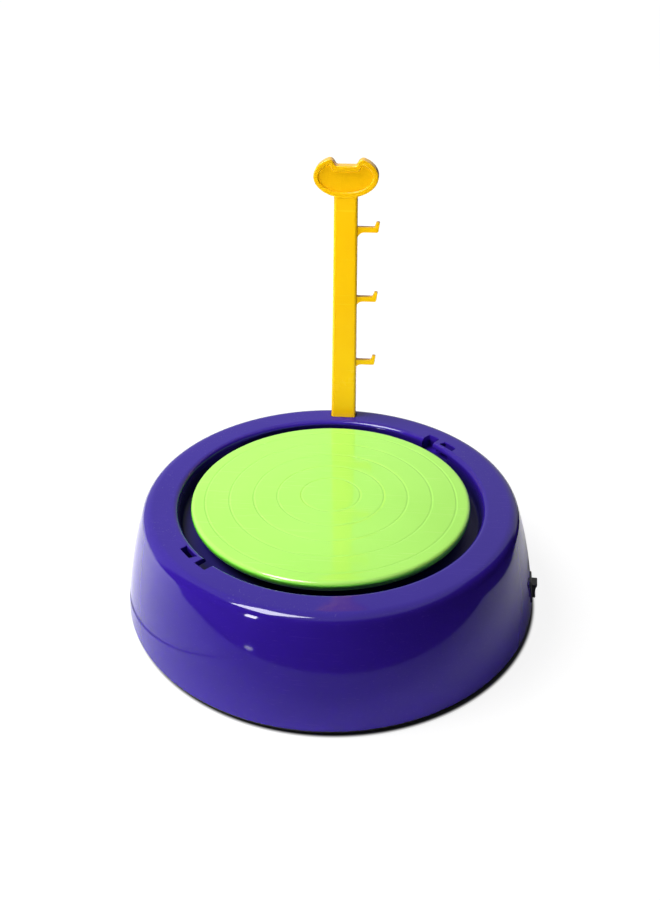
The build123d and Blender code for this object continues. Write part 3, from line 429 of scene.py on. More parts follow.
def addAndCut(piece, added, removed, finish):
    addedPiece = pieceFromSolid(piece.name + "Added", added)
    removedPiece = pieceFromSolid(piece.name + "Removed", removed)
    runTree(piece, joinTree, added=addedPiece, removed=removedPiece, finish=finish)
    for helper in (addedPiece, removedPiece):
        bpy.data.meshes.remove(helper.data)


def evenShading(piece, creaseAngle=35):
    # large faces decide the normals, so flats stay flat beside their rounds
    piece.data.shade_smooth()
    piece.data.set_sharp_from_angle(angle=math.radians(creaseAngle))
    weights = piece.modifiers.new("evenShading", "WEIGHTED_NORMAL")
    weights.keep_sharp = True
    weights.weight = 50
    freeze(piece)


def settle(piece, body, slot, *nodes):
    evenShading(piece)
    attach(piece, body)
    if nodes:
        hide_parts(*nodes)
    print(piece.name, "rides on", body + ",", len(piece.data.polygons), "faces")


# finishes

def linear(red, green, blue):
    # screen colour, 0 to 255, as the shader's linear colour
    parts = [value / 255 for value in (red, green, blue)]
    return (*[p / 12.92 if p <= 0.04045 else ((p + 0.055) / 1.055) ** 2.4 for p in parts], 1.0)


def mixColour(tree, share, first, second):
    node = putNode(tree, "ShaderNodeMix", {0: share, 6: first, 7: second}, data_type="RGBA")
    return node.outputs[2]


def mixValue(tree, share, first, second):
    return putNode(tree, "ShaderNodeMix", {0: share, 2: first, 3: second}).outputs[0]


def band(tree, value, low, high):
    # 0 below low, 1 above high, eased between
    node = putNode(
        tree, "ShaderNodeMapRange", {0: value, 1: low, 2: high}, interpolation_type="SMOOTHSTEP"
    )
    return node.outputs[0]


def objectPoint(tree):
    return putNode(tree, "ShaderNodeTexCoord").outputs["Object"]


def upward(tree):
    # 1 on a face that looks up, 0 on an upright one
    return split(tree, putNode(tree, "ShaderNodeTexCoord").outputs["Normal"])[2]


def noise(tree, vector, size, detail=2.0, roughness=0.5, seed=0.0):
    # size is the width of a blotch in metres
    scale = calc(tree, "DIVIDE", 1.0, size) if isinstance(size, bpy.types.NodeSocket) else 1 / size
    node = putNode(
        tree,
        "ShaderNodeTexNoise",
        {"Vector": vector, "W": seed, "Scale": scale, "Detail": detail, "Roughness": roughness},
        noise_dimensions="4D",
    )
    return node.outputs[0]


def streaks(tree, vector, detail, roughness=0.5):
    # noise whose blotches take their size from the vector itself
    sockets = {"Vector": vector, "Scale": 1.0, "Detail": detail, "Roughness": roughness}
    return putNode(tree, "ShaderNodeTexNoise", sockets).outputs[0]


def makeSkinGroup(toneShare=3.0, toneBand=(0.3, 0.7)):
    # moulded skin: a slow waviness, a fine grain and a slower change of tone
    inputs = [("Wave Size", "Float", 0.016), ("Grain Size", "Float", 0.0005), ("Grain Share", "Float", 0.1)]
    outputs = [("Height", "Float"), ("Tone", "Float"), ("Grain", "Float")]
    tree, entry, result = newGroup("mouldedSkin", "ShaderNodeTree", inputs, outputs)
    point = objectPoint(tree)
    wave = noise(tree, point, entry["Wave Size"], 1.0, 0.4)
    grain = noise(tree, point, entry["Grain Size"], 2.0, 0.6, seed=3.0)
    tone = noise(tree, point, calc(tree, "MULTIPLY", entry["Wave Size"], toneShare), 3.0, 0.55, seed=7.0)
    height = calc(tree, "MULTIPLY_ADD", grain, entry["Grain Share"], wave)
    tree.links.new(height, result["Height"])
    tree.links.new(band(tree, tone, *toneBand), result["Tone"])
    tree.links.new(grain, result["Grain"])
    return tree


def makeHandlingGroup(smudgeBand=(0.45, 0.75), scratchBand=(0.76, 0.8)):
    # traces of use: soft smudges and sparse hairline scratches that run two ways
    inputs = [
        ("Smudge Size", "Float", 0.02),
        ("Scratch Length", "Float", 0.03),
        ("Scratch Width", "Float", 0.0006),
    ]
    outputs = [("Smudge", "Float"), ("Scratch", "Float")]
    tree, entry, result = newGroup("handlingTraces", "ShaderNodeTree", inputs, outputs)
    point = objectPoint(tree)
    smudge = noise(tree, point, entry["Smudge Size"], 4.0, 0.6, seed=11.0)
    tree.links.new(band(tree, smudge, *smudgeBand), result["Smudge"])
    lengthScale = calc(tree, "DIVIDE", 1.0, entry["Scratch Length"])
    widthScale = calc(tree, "DIVIDE", 1.0, entry["Scratch Width"])
    scale = combine(tree, lengthScale, widthScale, widthScale)
    layers = []
    for turn in ((0.3, 0.2, 0.5), (-0.4, 0.6, 2.1)):
        sockets = {"Vector": point, "Rotation": turn, "Scale": scale}
        stretched = putNode(tree, "ShaderNodeMapping", sockets).outputs[0]
        layers.append(band(tree, streaks(tree, stretched, 0.0), *scratchBand))
    tree.links.new(calc(tree, "MAXIMUM", *layers), result["Scratch"])
    return tree


def makeDustGroup(speckBand=(0.7, 0.78), patchSize=0.03, patchBand=(0.4, 0.65), upBand=(0.5, 0.95)):
    # fine specks that settle in patches on faces that look up
    inputs = [("Speck Size", "Float", 0.0008)]
    tree, entry, result = newGroup("settledDust", "ShaderNodeTree", inputs, [("Dust", "Float")])
    point = objectPoint(tree)
    speck = noise(tree, point, entry["Speck Size"], 0.0, 0.5, seed=19.0)
    patch = noise(tree, point, patchSize, 2.0, 0.5, seed=23.0)
    specks = calc(tree, "MULTIPLY", band(tree, speck, *speckBand), band(tree, patch, *patchBand))
    tree.links.new(calc(tree, "MULTIPLY", specks, band(tree, upward(tree), *upBand)), result["Dust"])
    return tree


def makeTurningGroup():
    # fine rings about the Z axis, as a finger or a loop tool leaves on a turning disc
    inputs = [("Ring Width", "Float", 0.0005), ("Arc Share", "Float", 1.2)]
    outputs = [("Rings", "Float"), ("Radius", "Float")]
    tree, entry, result = newGroup("turningRings", "ShaderNodeTree", inputs, outputs)
    parts = split(tree, objectPoint(tree))
    flat = combine(tree, parts[0], parts[1], 0.0)
    radius = measure(tree, "LENGTH", flat)
    direction = putNode(tree, "ShaderNodeVectorMath", {0: flat}, operation="NORMALIZE").outputs[0]
    sockets = {0: direction, "Scale": entry["Arc Share"]}
    around = split(tree, putNode(tree, "ShaderNodeVectorMath", sockets, operation="SCALE").outputs[0])
    lane = calc(tree, "DIVIDE", radius, entry["Ring Width"])
    rings = streaks(tree, combine(tree, around[0], around[1], lane), 2.0, 0.6)
    tree.links.new(rings, result["Rings"])
    tree.links.new(radius, result["Radius"])
    return tree


skinGroup = makeSkinGroup()
handlingGroup = makeHandlingGroup()
dustGroup = makeDustGroup()
turningGroup = makeTurningGroup()


def useGroup(tree, group, **values):
    # takes those values that the group has an input for
    node = putNode(tree, "ShaderNodeGroup", node_tree=group)
    for socket in node.inputs:
        name = camelName(socket.name)
        if name in values:
            socket.default_value = values[name]
    return node.outputs


def newFinish(name):
    material = bpy.data.materials.new(name)
    material.use_nodes = True
    tree = material.node_tree
    tree.nodes.clear()
    shader = tree.nodes.new("ShaderNodeBsdfPrincipled")
    putNode(tree, "ShaderNodeOutputMaterial", {"Surface": shader.outputs[0]})
    return material, tree, shader.inputs


def linkBump(tree, shader, height, depth, under=None):
    # depth is the height of the relief in metres
    sockets = {"Height": height, "Distance": depth, "Strength": 1.0}
    if under:
        sockets["Normal"] = under
    tree.links.new(putNode(tree, "ShaderNodeBump", sockets).outputs[0], shader["Normal"])


dustColour = linear(205, 200, 190)
scuffPaler = 70


def mouldedPlastic(name, look):
    material, tree, shader = newFinish(name)
    skin = useGroup(tree, skinGroup, **look)
    traces = useGroup(tree, handlingGroup, **look)
    dust = useGroup(tree, dustGroup)["Dust"]
    colour = mixColour(tree, skin["Tone"], look["colour"], look["shade"])
    scuff = calc(tree, "MULTIPLY", traces["Scratch"], look["scuff"])
    colour = mixColour(tree, scuff, colour, look["scuffColour"])
    colour = mixColour(tree, calc(tree, "MULTIPLY", dust, look["dust"]), colour, dustColour)
    tree.links.new(colour, shader["Base Color"])
    rough = calc(tree, "MULTIPLY_ADD", traces["Smudge"], look["smudge"], look["roughness"])
    rough = calc(tree, "MULTIPLY_ADD", skin["Grain"], look["grainRough"], rough)
    rough = calc(tree, "MULTIPLY_ADD", scuff, look["scuffRough"], rough)
    tree.links.new(rough, shader["Roughness"])
    shader["IOR"].default_value = look["ior"]
    linkBump(tree, shader, skin["Height"], look["relief"])
    return material


def lookOf(colour, shade, **changes):
    # the common values of a moulded plastic, with what differs on this one
    look = {
        "colour": linear(*colour),
        "shade": linear(*shade),
        "roughness": 0.07,
        "ior": 1.5,
        "waveSize": 0.018,
        "grainSize": 0.0004,
        "grainShare": 0.04,
        "grainRough": 0.03,
        "relief": 0.00002,
        "smudgeSize": 0.03,
        "smudge": 0.05,
        "scuff": 0.12,
        "scuffRough": 0.2,
        "scuffColour": linear(*[min(255, value + scuffPaler) for value in colour]),
        "dust": 0.25,
    }
    look.update(changes)
    return look


plasticLooks = {
    "violet_gloss": lookOf(
        (50, 26, 147), (47, 24, 142), roughness=0.05, grainRough=0.015, smudge=0.03, scuff=0.06, dust=0.06
    ),
    "yellow_plastic": lookOf(
        (251, 193, 6), (249, 187, 5), roughness=0.2, waveSize=0.012, smudge=0.08, dust=0.06
    ),
    "black_gloss": lookOf((20, 20, 22), (16, 16, 18), roughness=0.16, waveSize=0.004, scuff=0.25, dust=0.5),
    "black_plastic": lookOf(
        (30, 30, 32), (24, 24, 26), roughness=0.45, grainSize=0.0007, grainShare=1.5, grainRough=0.15,
        relief=0.00005, scuff=0.35, dust=0.6,
    ),
    "foot_rubber": lookOf(
        (38, 38, 38), (30, 30, 31), roughness=0.75, grainSize=0.0003, grainShare=1.0, relief=0.00004,
        smudge=0.12, scuff=0.3, dust=0.8,
    ),
    "white_plastic": lookOf((222, 220, 208), (212, 209, 195), roughness=0.38, waveSize=0.006, smudge=0.1),
    "red_wire": lookOf((158, 26, 20), (142, 20, 16), roughness=0.42, waveSize=0.003, smudge=0.1),
    "black_wire": lookOf((22, 22, 22), (17, 17, 17), roughness=0.42, waveSize=0.003, smudge=0.1),
}


def shaderOf(tree):
    return next(node for node in tree.nodes if node.type == "BSDF_PRINCIPLED").inputs


def feeding(socket):
    return socket.links[0].from_socket


troughShade = {
    "radius": 0.0853,
    "soft": 0.001,
    "top": 0.0585,
    "bottom": 0.0525,
    "colour": (22, 12, 90),
    "matt": 0.45,
}


def mattTroughWithPaintedShade(material):
    # the bowl round the disc is matt from its mould, and its colour is darkened there as painted shade
    # where little light gets in
    tree = material.node_tree
    shader = shaderOf(tree)
    height = split(tree, objectPoint(tree))[2]
    radius = useGroup(tree, turningGroup)["Radius"]
    within = band(tree, radius, troughShade["radius"], troughShade["radius"] - troughShade["soft"])
    inside = calc(tree, "MULTIPLY", within, band(tree, height, troughShade["top"], troughShade["bottom"]))
    # painted shade: inside the bowl, below the rim, the violet gives way to a dark trough colour
    colour = mixColour(tree, inside, feeding(shader["Base Color"]), linear(*troughShade["colour"]))
    tree.links.new(colour, shader["Base Color"])
    rough = calc(tree, "MULTIPLY_ADD", inside, troughShade["matt"], feeding(shader["Roughness"]))
    tree.links.new(rough, shader["Roughness"])


limeWearAndShade = {
    "rubbed": (192, 247, 130),
    "ringBand": (0.58, 0.78),
    "ringShare": 0.1,
    "ringRough": 0.06,
    "ringRelief": 0.000003,
    "edgeBand": (0.0735, 0.0762),
    "edgeShare": 0.25,
    "sideColour": (112, 240, 56),
    "sideBand": (0.75, 0.25),
    "sideShare": 0.9,
}


def turnedLime():
    # the disc: glossy lime with faint rings of wear, a paler rubbed edge, and painted shade that makes its
    # side a darker, deeper green
    look = lookOf((177, 244, 103), (172, 240, 97), roughness=0.06, ior=1.65, relief=0.000018, dust=0.08)
    material = mouldedPlastic("lime_plastic", look)
    tree = material.node_tree
    shader = shaderOf(tree)
    turning = useGroup(tree, turningGroup)
    rings = band(tree, turning["Rings"], *limeWearAndShade["ringBand"])
    edge = band(tree, turning["Radius"], *limeWearAndShade["edgeBand"])
    # painted shade: faces that turn away from up take a darker, deeper green
    side = band(tree, upward(tree), *limeWearAndShade["sideBand"])
    colour = feeding(shader["Base Color"])
    for mask, share, tint in (
        (rings, "ringShare", "rubbed"), (edge, "edgeShare", "rubbed"), (side, "sideShare", "sideColour")
    ):
        amount = calc(tree, "MULTIPLY", mask, limeWearAndShade[share])
        colour = mixColour(tree, amount, colour, linear(*limeWearAndShade[tint]))
    tree.links.new(colour, shader["Base Color"])
    rough = calc(tree, "MULTIPLY_ADD", rings, limeWearAndShade["ringRough"], feeding(shader["Roughness"]))
    tree.links.new(rough, shader["Roughness"])
    linkBump(tree, shader, turning["Rings"], limeWearAndShade["ringRelief"], feeding(shader["Normal"]))
    return material


metalGrain = {
    "drawnScale": (4000.0, 4000.0, 150.0),
    "drawnRough": 0.15,
    "dullRough": 0.12,
    "smudgeSize": 0.006,
}


def bareMetal(name, look):
    # metal with fine drawn lines along Z and dull patches
    material, tree, shader = newFinish(name)
    sockets = {"Vector": objectPoint(tree), "Scale": metalGrain["drawnScale"]}
    lines = streaks(tree, putNode(tree, "ShaderNodeMapping", sockets).outputs[0], 2.0)
    smudge = useGroup(tree, handlingGroup, **metalGrain)["Smudge"]
    colour = mixColour(tree, smudge, linear(*look["colour"]), linear(*look["dull"]))
    tree.links.new(colour, shader["Base Color"])
    rough = calc(tree, "MULTIPLY_ADD", lines, metalGrain["drawnRough"], look["roughness"])
    rough = calc(tree, "MULTIPLY_ADD", smudge, metalGrain["dullRough"], rough)
    tree.links.new(rough, shader["Roughness"])
    shader["Metallic"].default_value = look.get("metallic", 1.0)
    linkBump(tree, shader, lines, look["relief"])
    return material


metalLooks = {
    "steel": {"colour": (196, 198, 202), "dull": (160, 160, 158), "roughness": 0.22, "relief": 4e-6},
    "plated_wire": {"colour": (214, 214, 214), "dull": (186, 186, 184), "roughness": 0.14, "relief": 2e-6},
    "brass": {"colour": (206, 168, 92), "dull": (164, 124, 66), "roughness": 0.24, "relief": 3e-6},
    "magnet": {
        "colour": (46, 46, 49), "dull": (34, 34, 36), "roughness": 0.55, "relief": 8e-6, "metallic": 0.35
    },
}


jacket = {
    "colour": (52, 57, 62),
    "pale": (120, 124, 128),
    "paleAt": -0.0445,
    "paleHalf": 0.009,
    "rubbed": (44, 48, 53),
    "metal": (200, 200, 198),
    "endBand": (0.5, 0.6),
    "endMetallic": 0.9,
    "roughness": 0.25,
    "smudgeRough": 0.15,
    "smudgeSize": 0.01,
    "relief": 0.00001,
}


def cellJacket():
    # battery cells: a plain printed jacket with one paler band, bare metal on the ends
    material, tree, shader = newFinish("cell_jacket")
    traces = useGroup(tree, handlingGroup, **jacket)
    coords = putNode(tree, "ShaderNodeTexCoord").outputs
    facing, along = split(tree, coords["Normal"])[1], split(tree, coords["Object"])[1]
    ends = band(tree, calc(tree, "ABSOLUTE", facing), *jacket["endBand"])
    paleBand = calc(tree, "COMPARE", along, jacket["paleAt"], jacket["paleHalf"])
    colour = linear(*jacket["colour"])
    for mask, tint in ((paleBand, "pale"), (traces["Smudge"], "rubbed"), (ends, "metal")):
        colour = mixColour(tree, mask, colour, linear(*jacket[tint]))
    tree.links.new(colour, shader["Base Color"])
    tree.links.new(calc(tree, "MULTIPLY", ends, jacket["endMetallic"]), shader["Metallic"])
    rough = calc(tree, "MULTIPLY_ADD", traces["Smudge"], jacket["smudgeRough"], jacket["roughness"])
    tree.links.new(rough, shader["Roughness"])
    linkBump(tree, shader, traces["Scratch"], jacket["relief"])
    return material


finishes = {name: mouldedPlastic(name, look) for name, look in plasticLooks.items()}
mattTroughWithPaintedShade(finishes["violet_gloss"])
finishes["lime_plastic"] = turnedLime()
finishes.update({name: bareMetal(name, look) for name, look in metalLooks.items()})
finishes["cell_jacket"] = cellJacket()
print("finishes:", ", ".join(sorted(finishes)))

for part in frame["record"]["subparts"]:
    node = cadNodes[part["node"]]
    node.data.materials.clear()
    node.data.materials.append(finishes[part["material_slot"]])


# housing

housing = {
    "base": (115.5, 3.0),
    "waist": (109.7, 31.9),
    "rimCorner": (100.4, 60.8),
    "rimRound": 6.5,
    "rimClear": 1.2,  # the wall's points stop this many rounds short of the rim's corner
    "rimInner": (83.0, 60.0),
    "rimInnerRound": 3.0,
    "bowlFloor": (82.0, 47.5),
    "bowlRound": 2.0,
    "boss": (9.0, 52.5),
    "bushRadius": 5.0,
    "floorThickness": 2.5,
    "wall": 2.4,
    "rimThickness": 2.6,
    "rimInset": 4.8,
    "shoulderInset": (3.1, 5.2),
    "waistDrop": 1.0,
    "edgeRound": 0.5,
    "arcSteps": 24,
    "longestEdge": 2.0,
    "segments": 288,
    "slotLip": 0.5,
    "screwCircle": 93.0,
    "screwAngles": (54, 126, 198, 270, 342),
    "screwBoss": (4.0, 9.0),
    "screwHole": (1.55, 8.0, 21.0),
}
bayonet = {
    "angles": (49.9, 229.9),
    "entryHalf": 3.0,
    "pocketNear": 5.0,
    "pocketFar": 12.0,
    "outerRadius": 89.4,
    "pocketInnerRadius": 85.7,
    "floor": 52.6,
    "tab": 3.0,
    "liner": 2.0,
    "cornerRound": 1.0,
    "overlap": 0.5,
    "sliver": 0.01,  # keeps the faces of two cuts from lying on each other
}
armSocket = {
    "middle": (0.0, 92.9),
    "hole": (15.9, 7.4),
    "corner": 1.7,
    "floor": 30.0,
    "floorRound": 0.5,
    "wall": 2.0,
}
switchPlace = {
    "angle": -7.0,
    "height": 14.2,
    "radius": 113.35,
    "tilt": 10.8,
    "flange": (10.8, 15.3, 1.1),
    "body": (8.7, 13.1, 0.3),
    "bodyProud": 0.5,
}


def rimHeight(point):
    # height of the rim's top at a place in plan
    inner, corner = pick(housing, "rimInner", "rimCorner")
    slope = (corner[1] - inner[1]) / (corner[0] - inner[0])
    return inner[1] + slope * (point.length - inner[0])


def housingOutline():
    base, waist, corner = pick(housing, "base", "waist", "rimCorner")
    inner, floor, boss = pick(housing, "rimInner", "bowlFloor", "boss")
    wall, edge, rim = pick(housing, "wall", "edgeRound", "rimThickness")
    bush, rimRound, shoulder = pick(housing, "bushRadius", "rimRound", "shoulderInset")
    underside = floor[1] - housing["floorThickness"]
    wallArc = arcThrough(base, waist, corner, housing["arcSteps"])
    insideArc = arcThrough(
        (corner[0] - shoulder[0], corner[1] - shoulder[1]),
        (waist[0] - wall, waist[1] - housing["waistDrop"]),
        (base[0] - wall, base[1]),
        housing["arcSteps"],
    )
    clear = housing["rimClear"] * rimRound
    corners = [
        (*base, edge),
        *[point for point in wallArc[1:-1] if (wallArc[-1] - point).length > clear],
        (*corner, rimRound),
        (*inner, housing["rimInnerRound"]),
        (*floor, housing["bowlRound"]),
        (boss[0], floor[1], edge),
        (*boss, edge),
        (bush, boss[1]),
        (bush, underside),
        (floor[0] + wall, underside, edge),
        (inner[0] + wall, inner[1] - rim, edge),
        (corner[0] - housing["rimInset"], corner[1] - rim, edge),
        *insideArc,
    ]
    outline = roundCorners(corners, 14)
    return divide(outline + outline[:1], housing["longestEdge"])[:-1]


def switchFrame():
    # X along the wall, Y up the wall, Z out of it
    angle, tilt = math.radians(switchPlace["angle"]), math.radians(switchPlace["tilt"])
    out = Vector((math.cos(tilt) * math.cos(angle), math.cos(tilt) * math.sin(angle), math.sin(tilt)))
    along = Vector((-math.sin(angle), math.cos(angle), 0))
    up = out.cross(along)
    place = Matrix((along, up, out)).transposed().to_4x4()
    radius = switchPlace["radius"]
    place.translation = (radius * math.cos(angle), radius * math.sin(angle), switchPlace["height"])
    return place


def insideRim():
    # a height within the rim's thickness, where what hangs below it ends
    return housing["rimInner"][1] - housing["rimThickness"] / 2


def addBayonet(added, removed, angle):
    # an entry down from the rim's inner edge, a run under a tab and the window over the run's far end
    entryStart, entryEnd = angle - bayonet["entryHalf"], angle + bayonet["entryHalf"]
    runEnd = angle - bayonet["pocketFar"]
    liner, floor, outer = pick(bayonet, "liner", "floor", "outerRadius")
    corner, lip, sliver = bayonet["cornerRound"], housing["slotLip"], bayonet["sliver"]
    nearBowl = housing["bowlFloor"][0] - liner
    insideWall = housing["rimInner"][0] + housing["wall"] / 2
    lining = sector(runEnd - liner, entryEnd + liner, insideWall, outer + liner)
    addSlab(added, lining, floor - liner, insideRim())
    entry = sector(entryStart, entryEnd, nearBowl, outer, corner)
    addFlaredCut(removed, entry, floor, rimHeight, lip)
    window = sector(runEnd, angle - bayonet["pocketNear"], bayonet["pocketInnerRadius"], outer, corner)
    addFlaredCut(removed, window, floor + sliver, rimHeight, lip)
    run = sector(runEnd + 2 * sliver, entryStart + bayonet["overlap"], nearBowl, outer - 2 * sliver)
    addSlab(removed, run, floor + 2 * sliver, housing["rimInner"][1] - bayonet["tab"])


def buildHousing():
    violet = finishes["violet_gloss"]
    shell = spin("housingShell", housingOutline(), violet, housing["segments"])
    added, removed = bmesh.new(), bmesh.new()
    for angle in housing["screwAngles"]:
        point = polar(housing["screwCircle"], angle)
        addColumn(added, point, *housing["screwBoss"], insideRim())
        addColumn(removed, point, *housing["screwHole"])
    middle, floor, wall = pick(armSocket, "middle", "floor", "wall")
    width, depth = armSocket["hole"]
    socketWall = rectangle(width + 2 * wall, depth + 2 * wall, middle=middle)
    addSlab(added, socketWall, floor - wall, insideRim())
    socketHole = rectangle(width, depth, armSocket["corner"], middle)
    addFlaredCut(removed, socketHole, floor, rimHeight, housing["slotLip"], armSocket["floorRound"])
    for angle in bayonet["angles"]:
        addBayonet(added, removed, angle)
    place, through = switchFrame(), 2 * housing["wall"]
    addSlab(removed, rectangle(*switchPlace["flange"]), 0, through, place=place)
    addSlab(removed, rectangle(*switchPlace["body"]), -through, switchPlace["bodyProud"], place=place)
    addAndCut(shell, added, removed, violet)
    settle(shell, "base", "violet_gloss", "housing")


buildHousing()


# turntable

disc = {
    "radius": 76.0,
    "top": 60.0,
    "plate": 3.0,
    "skirt": 6.0,
    "skirtWall": 2.2,
    "edgeRound": 2.4,
    "skirtRound": 3.2,
    "grooves": (16.2, 29.2, 42.1, 55.2, 68.3),
    "grooveDepth": 0.18,
    "grooveHalf": 0.9,
    "hub": (7.5, 54.1),
    "bore": (3.01, 58.01),
    "collar": (10.6, 12.6, 49.5),
    "innerRound": 0.4,
    "skirtInnerRound": 0.6,
    "ribCount": 8,
    "ribThickness": 1.6,
    "ribOverlap": 0.5,
    "ribCorner": 0.2,
    "ribRise": 0.3,
    "ribRound": 0.3,
    "longestEdge": 1.5,
    "segments": 240,
}


def grooveProfile(radius, steps=14):
    # a rounded groove whose lips run smoothly into the top
    points = []
    for step in range(steps + 1):
        offset = 2 * step / steps - 1
        depth = disc["grooveDepth"] * (0.5 + 0.5 * math.cos(math.pi * offset))
        points.append((radius + offset * disc["grooveHalf"], disc["top"] - depth))
    return points


def discOutline():
    top, radius, wall = pick(disc, "top", "radius", "skirtWall")
    bottom, under = top - disc["skirt"], top - disc["plate"]
    hubRadius, hubBottom = disc["hub"]
    boreRadius, boreTop = disc["bore"]
    collarInner, collarOuter, collarBottom = disc["collar"]
    inside = disc["innerRound"]
    corners = [(0, top)]
    for groove in disc["grooves"]:
        corners += grooveProfile(groove)
    corners += [
        (radius, top, disc["edgeRound"]),
        (radius, bottom, disc["skirtRound"]),
        (radius - wall, bottom),
        (radius - wall, under, disc["skirtInnerRound"]),
        (collarOuter, under, inside),
        (collarOuter, collarBottom, inside),
        (collarInner, collarBottom, inside),
        (collarInner, under, inside),
        (hubRadius, under, inside),
        (hubRadius, hubBottom, inside),
        (boreRadius, hubBottom),
        (boreRadius, boreTop),
        (0, boreTop),
    ]
    return divide(roundCorners(corners, 8), disc["longestEdge"])


def joinInto(piece, *others):
    # other pieces' meshes become part of this one
    bm = bmesh.new()
    for part in (piece, *others):
        bm.from_mesh(part.data)
    bm.to_mesh(piece.data)
    bm.free()
    for part in others:
        bpy.data.meshes.remove(part.data)


def buildTurntable():
    lime = finishes["lime_plastic"]
    plate = spin("turntableDisc", discOutline(), lime, disc["segments"], closed=False)
    inner = disc["collar"][1] - disc["ribOverlap"]
    outer = disc["radius"] - disc["skirtWall"] + disc["ribOverlap"]
    low = disc["top"] - disc["skirt"] + disc["ribRise"]
    high = disc["top"] - disc["plate"] + disc["ribRise"]
    oneRib = bmesh.new()
    middle = ((inner + outer) / 2, 0)
    ribOutline = rectangle(outer - inner, disc["ribThickness"], disc["ribCorner"], middle)
    addSlab(oneRib, ribOutline, low, high, disc["ribRound"])
    ribs = pieceFromSolid("turntableRibs", oneRib)
    runTree(ribs, ringTree, count=disc["ribCount"], radius=0.0, firstAngle=0.0, finish=lime)
    joinInto(plate, ribs)
    settle(plate, "wheel", "lime_plastic", "turntable")


buildTurntable()


# tool arm

arm = {
    "front": 89.4,
    "depth": 7.0,
    "footWidth": 15.5,
    "neckWidth": 13.0,
    "footBottom": 30.0,
    "rimTop": 60.0,
    "neckTop": 197.5,
    "neckHeight": 196.0,
    "edgeRound": 1.6,
    "footEdge": ((0.0, 0.5), (0.15, 0.15), (0.5, 0.0)),
    "heightSteps": 16,
    "pocketBottom": 64.0,
    "pocketTop": 192.0,
    "pocketCount": 6,
    "pocketRib": 1.6,
    "pocketWall": 2.4,
    "pocketDepth": 4.2,
    "pocketCorner": 0.8,
    "pocketLip": 0.3,
    "pocketFloorRound": 0.5,
}
armHead = {
    "middle": 205.5,
    "halfWidth": 17.7,
    "halfHeight": 10.8,
    "proud": 0.4,
    "edgeRound": 0.7,
    "notchFloor": 211.2,
    "notchWidth": 11.0,
    "notchTopHalf": 15.0,
    "hornRound": 2.8,
    "notchRound": 1.5,
    "border": 2.6,
    "recess": 1.2,
    "recessInset": 1.2,
    "recessRound": 0.9,
    "recessLip": 0.3,
    "recessFloorRound": 0.4,
    "ovalSteps": 720,
    "ovalSpacing": 9,
    "hornSkip": 30,
    "recessSkip": 20,
}
armHook = {
    "heights": (97.4, 137.4, 177.4),
    "reach": 19.2,
    "thickness": 3.0,
    "tipHeight": 2.8,
    "tipWidth": 2.1,
    "lean": 0.8,
    "depth": 3.2,
    "gusset": 4.0,
    "root": 2.4,
    "heelRound": 1.1,
    "throatRound": 0.9,
    "tipRound": 0.6,
    "edgeRound": 0.35,
}


def armHalfWidth(height):
    share = (height - arm["rimTop"]) / (arm["neckHeight"] - arm["rimTop"])
    width = arm["footWidth"] + (arm["neckWidth"] - arm["footWidth"]) * min(max(share, 0), 1)
    return width / 2


def frontFrame():
    # outlines drawn in X and Z, thickness towards -Y
    return Matrix(((1, 0, 0, 0), (0, 0, -1, 0), (0, 1, 0, 0), (0, 0, 0, 1)))


def backFrame():
    # outlines drawn in -X and Z, thickness towards +Y
    return Matrix(((-1, 0, 0, 0), (0, 0, 1, 0), (0, 1, 0, 0), (0, 0, 0, 1)))


def addPost(bm):
    middle = (0, arm["front"] + arm["depth"] / 2)
    low, high, steps = pick(arm, "rimTop", "neckTop", "heightSteps")
    levels = [(arm["footBottom"] + rise, inset) for rise, inset in arm["footEdge"]]
    levels += [(low + (high - low) * step / steps, 0.0) for step in range(steps + 1)]
    rings = []
    for height, inset in levels:
        outline = rectangle(2 * armHalfWidth(height), arm["depth"], arm["edgeRound"], middle, 6)
        rings.append(atHeight(grow(outline, -inset), height))
    stackRings(bm, rings)


def notchedOval(inset, notchHalf, hornRound, notchRound, skip, steps):
    # the head's outline, drawn in by an inset, with a notch that widens upwards; it starts at the left
    # horn, runs down round the oval and up to the right horn, then over the notch
    floor, middle = armHead["notchFloor"] - inset, armHead["middle"]
    top, topHalf = middle + 2 * armHead["halfHeight"], armHead["notchTopHalf"] + inset

    def notchSide(height):
        return notchHalf + (topHalf - notchHalf) * (height - floor) / (top - floor)

    halfWidth, halfHeight = armHead["halfWidth"] - inset, armHead["halfHeight"] - inset
    edge = oval(halfWidth, halfHeight, armHead["ovalSteps"], (0, middle))
    kept = [point for point in edge if point.y < floor or abs(point.x) > notchSide(point.y)]
    start = max(range(len(kept)), key=lambda i: (kept[i] - kept[i - 1]).length)
    kept = kept[start:] + kept[:start]
    corners = [
        (*kept[0], hornRound),
        *kept[skip:-skip:armHead["ovalSpacing"]],
        (*kept[-1], hornRound),
        (notchHalf, floor, notchRound),
        (-notchHalf, floor, notchRound),
    ]
    return roundCorners(corners, steps)


def hookOutline():
    # the highest hook, whose root is the furthest in; the lower ones start a little deeper in the post
    height = armHook["heights"][-1]
    side = armHalfWidth(height)
    top, bottom = height + armHook["thickness"] / 2, height - armHook["thickness"] / 2
    reach, lean, gusset = pick(armHook, "reach", "lean", "gusset")
    tipTop = top + armHook["tipHeight"]
    tipWidth, tipRound, root = armHook["tipWidth"], armHook["tipRound"], side - armHook["root"]
    concave = [(side + inset, bottom - drop) for inset, drop in quarterRound(gusset, 6)]
    corners = [
        (root, bottom - gusset),
        *reversed(concave),
        (reach - lean, bottom, armHook["heelRound"]),
        (reach, tipTop, tipRound),
        (reach - tipWidth, tipTop, tipRound),
        (reach - tipWidth - lean, top, armHook["throatRound"]),
        (root, top),
    ]
    return roundCorners(corners, 6)


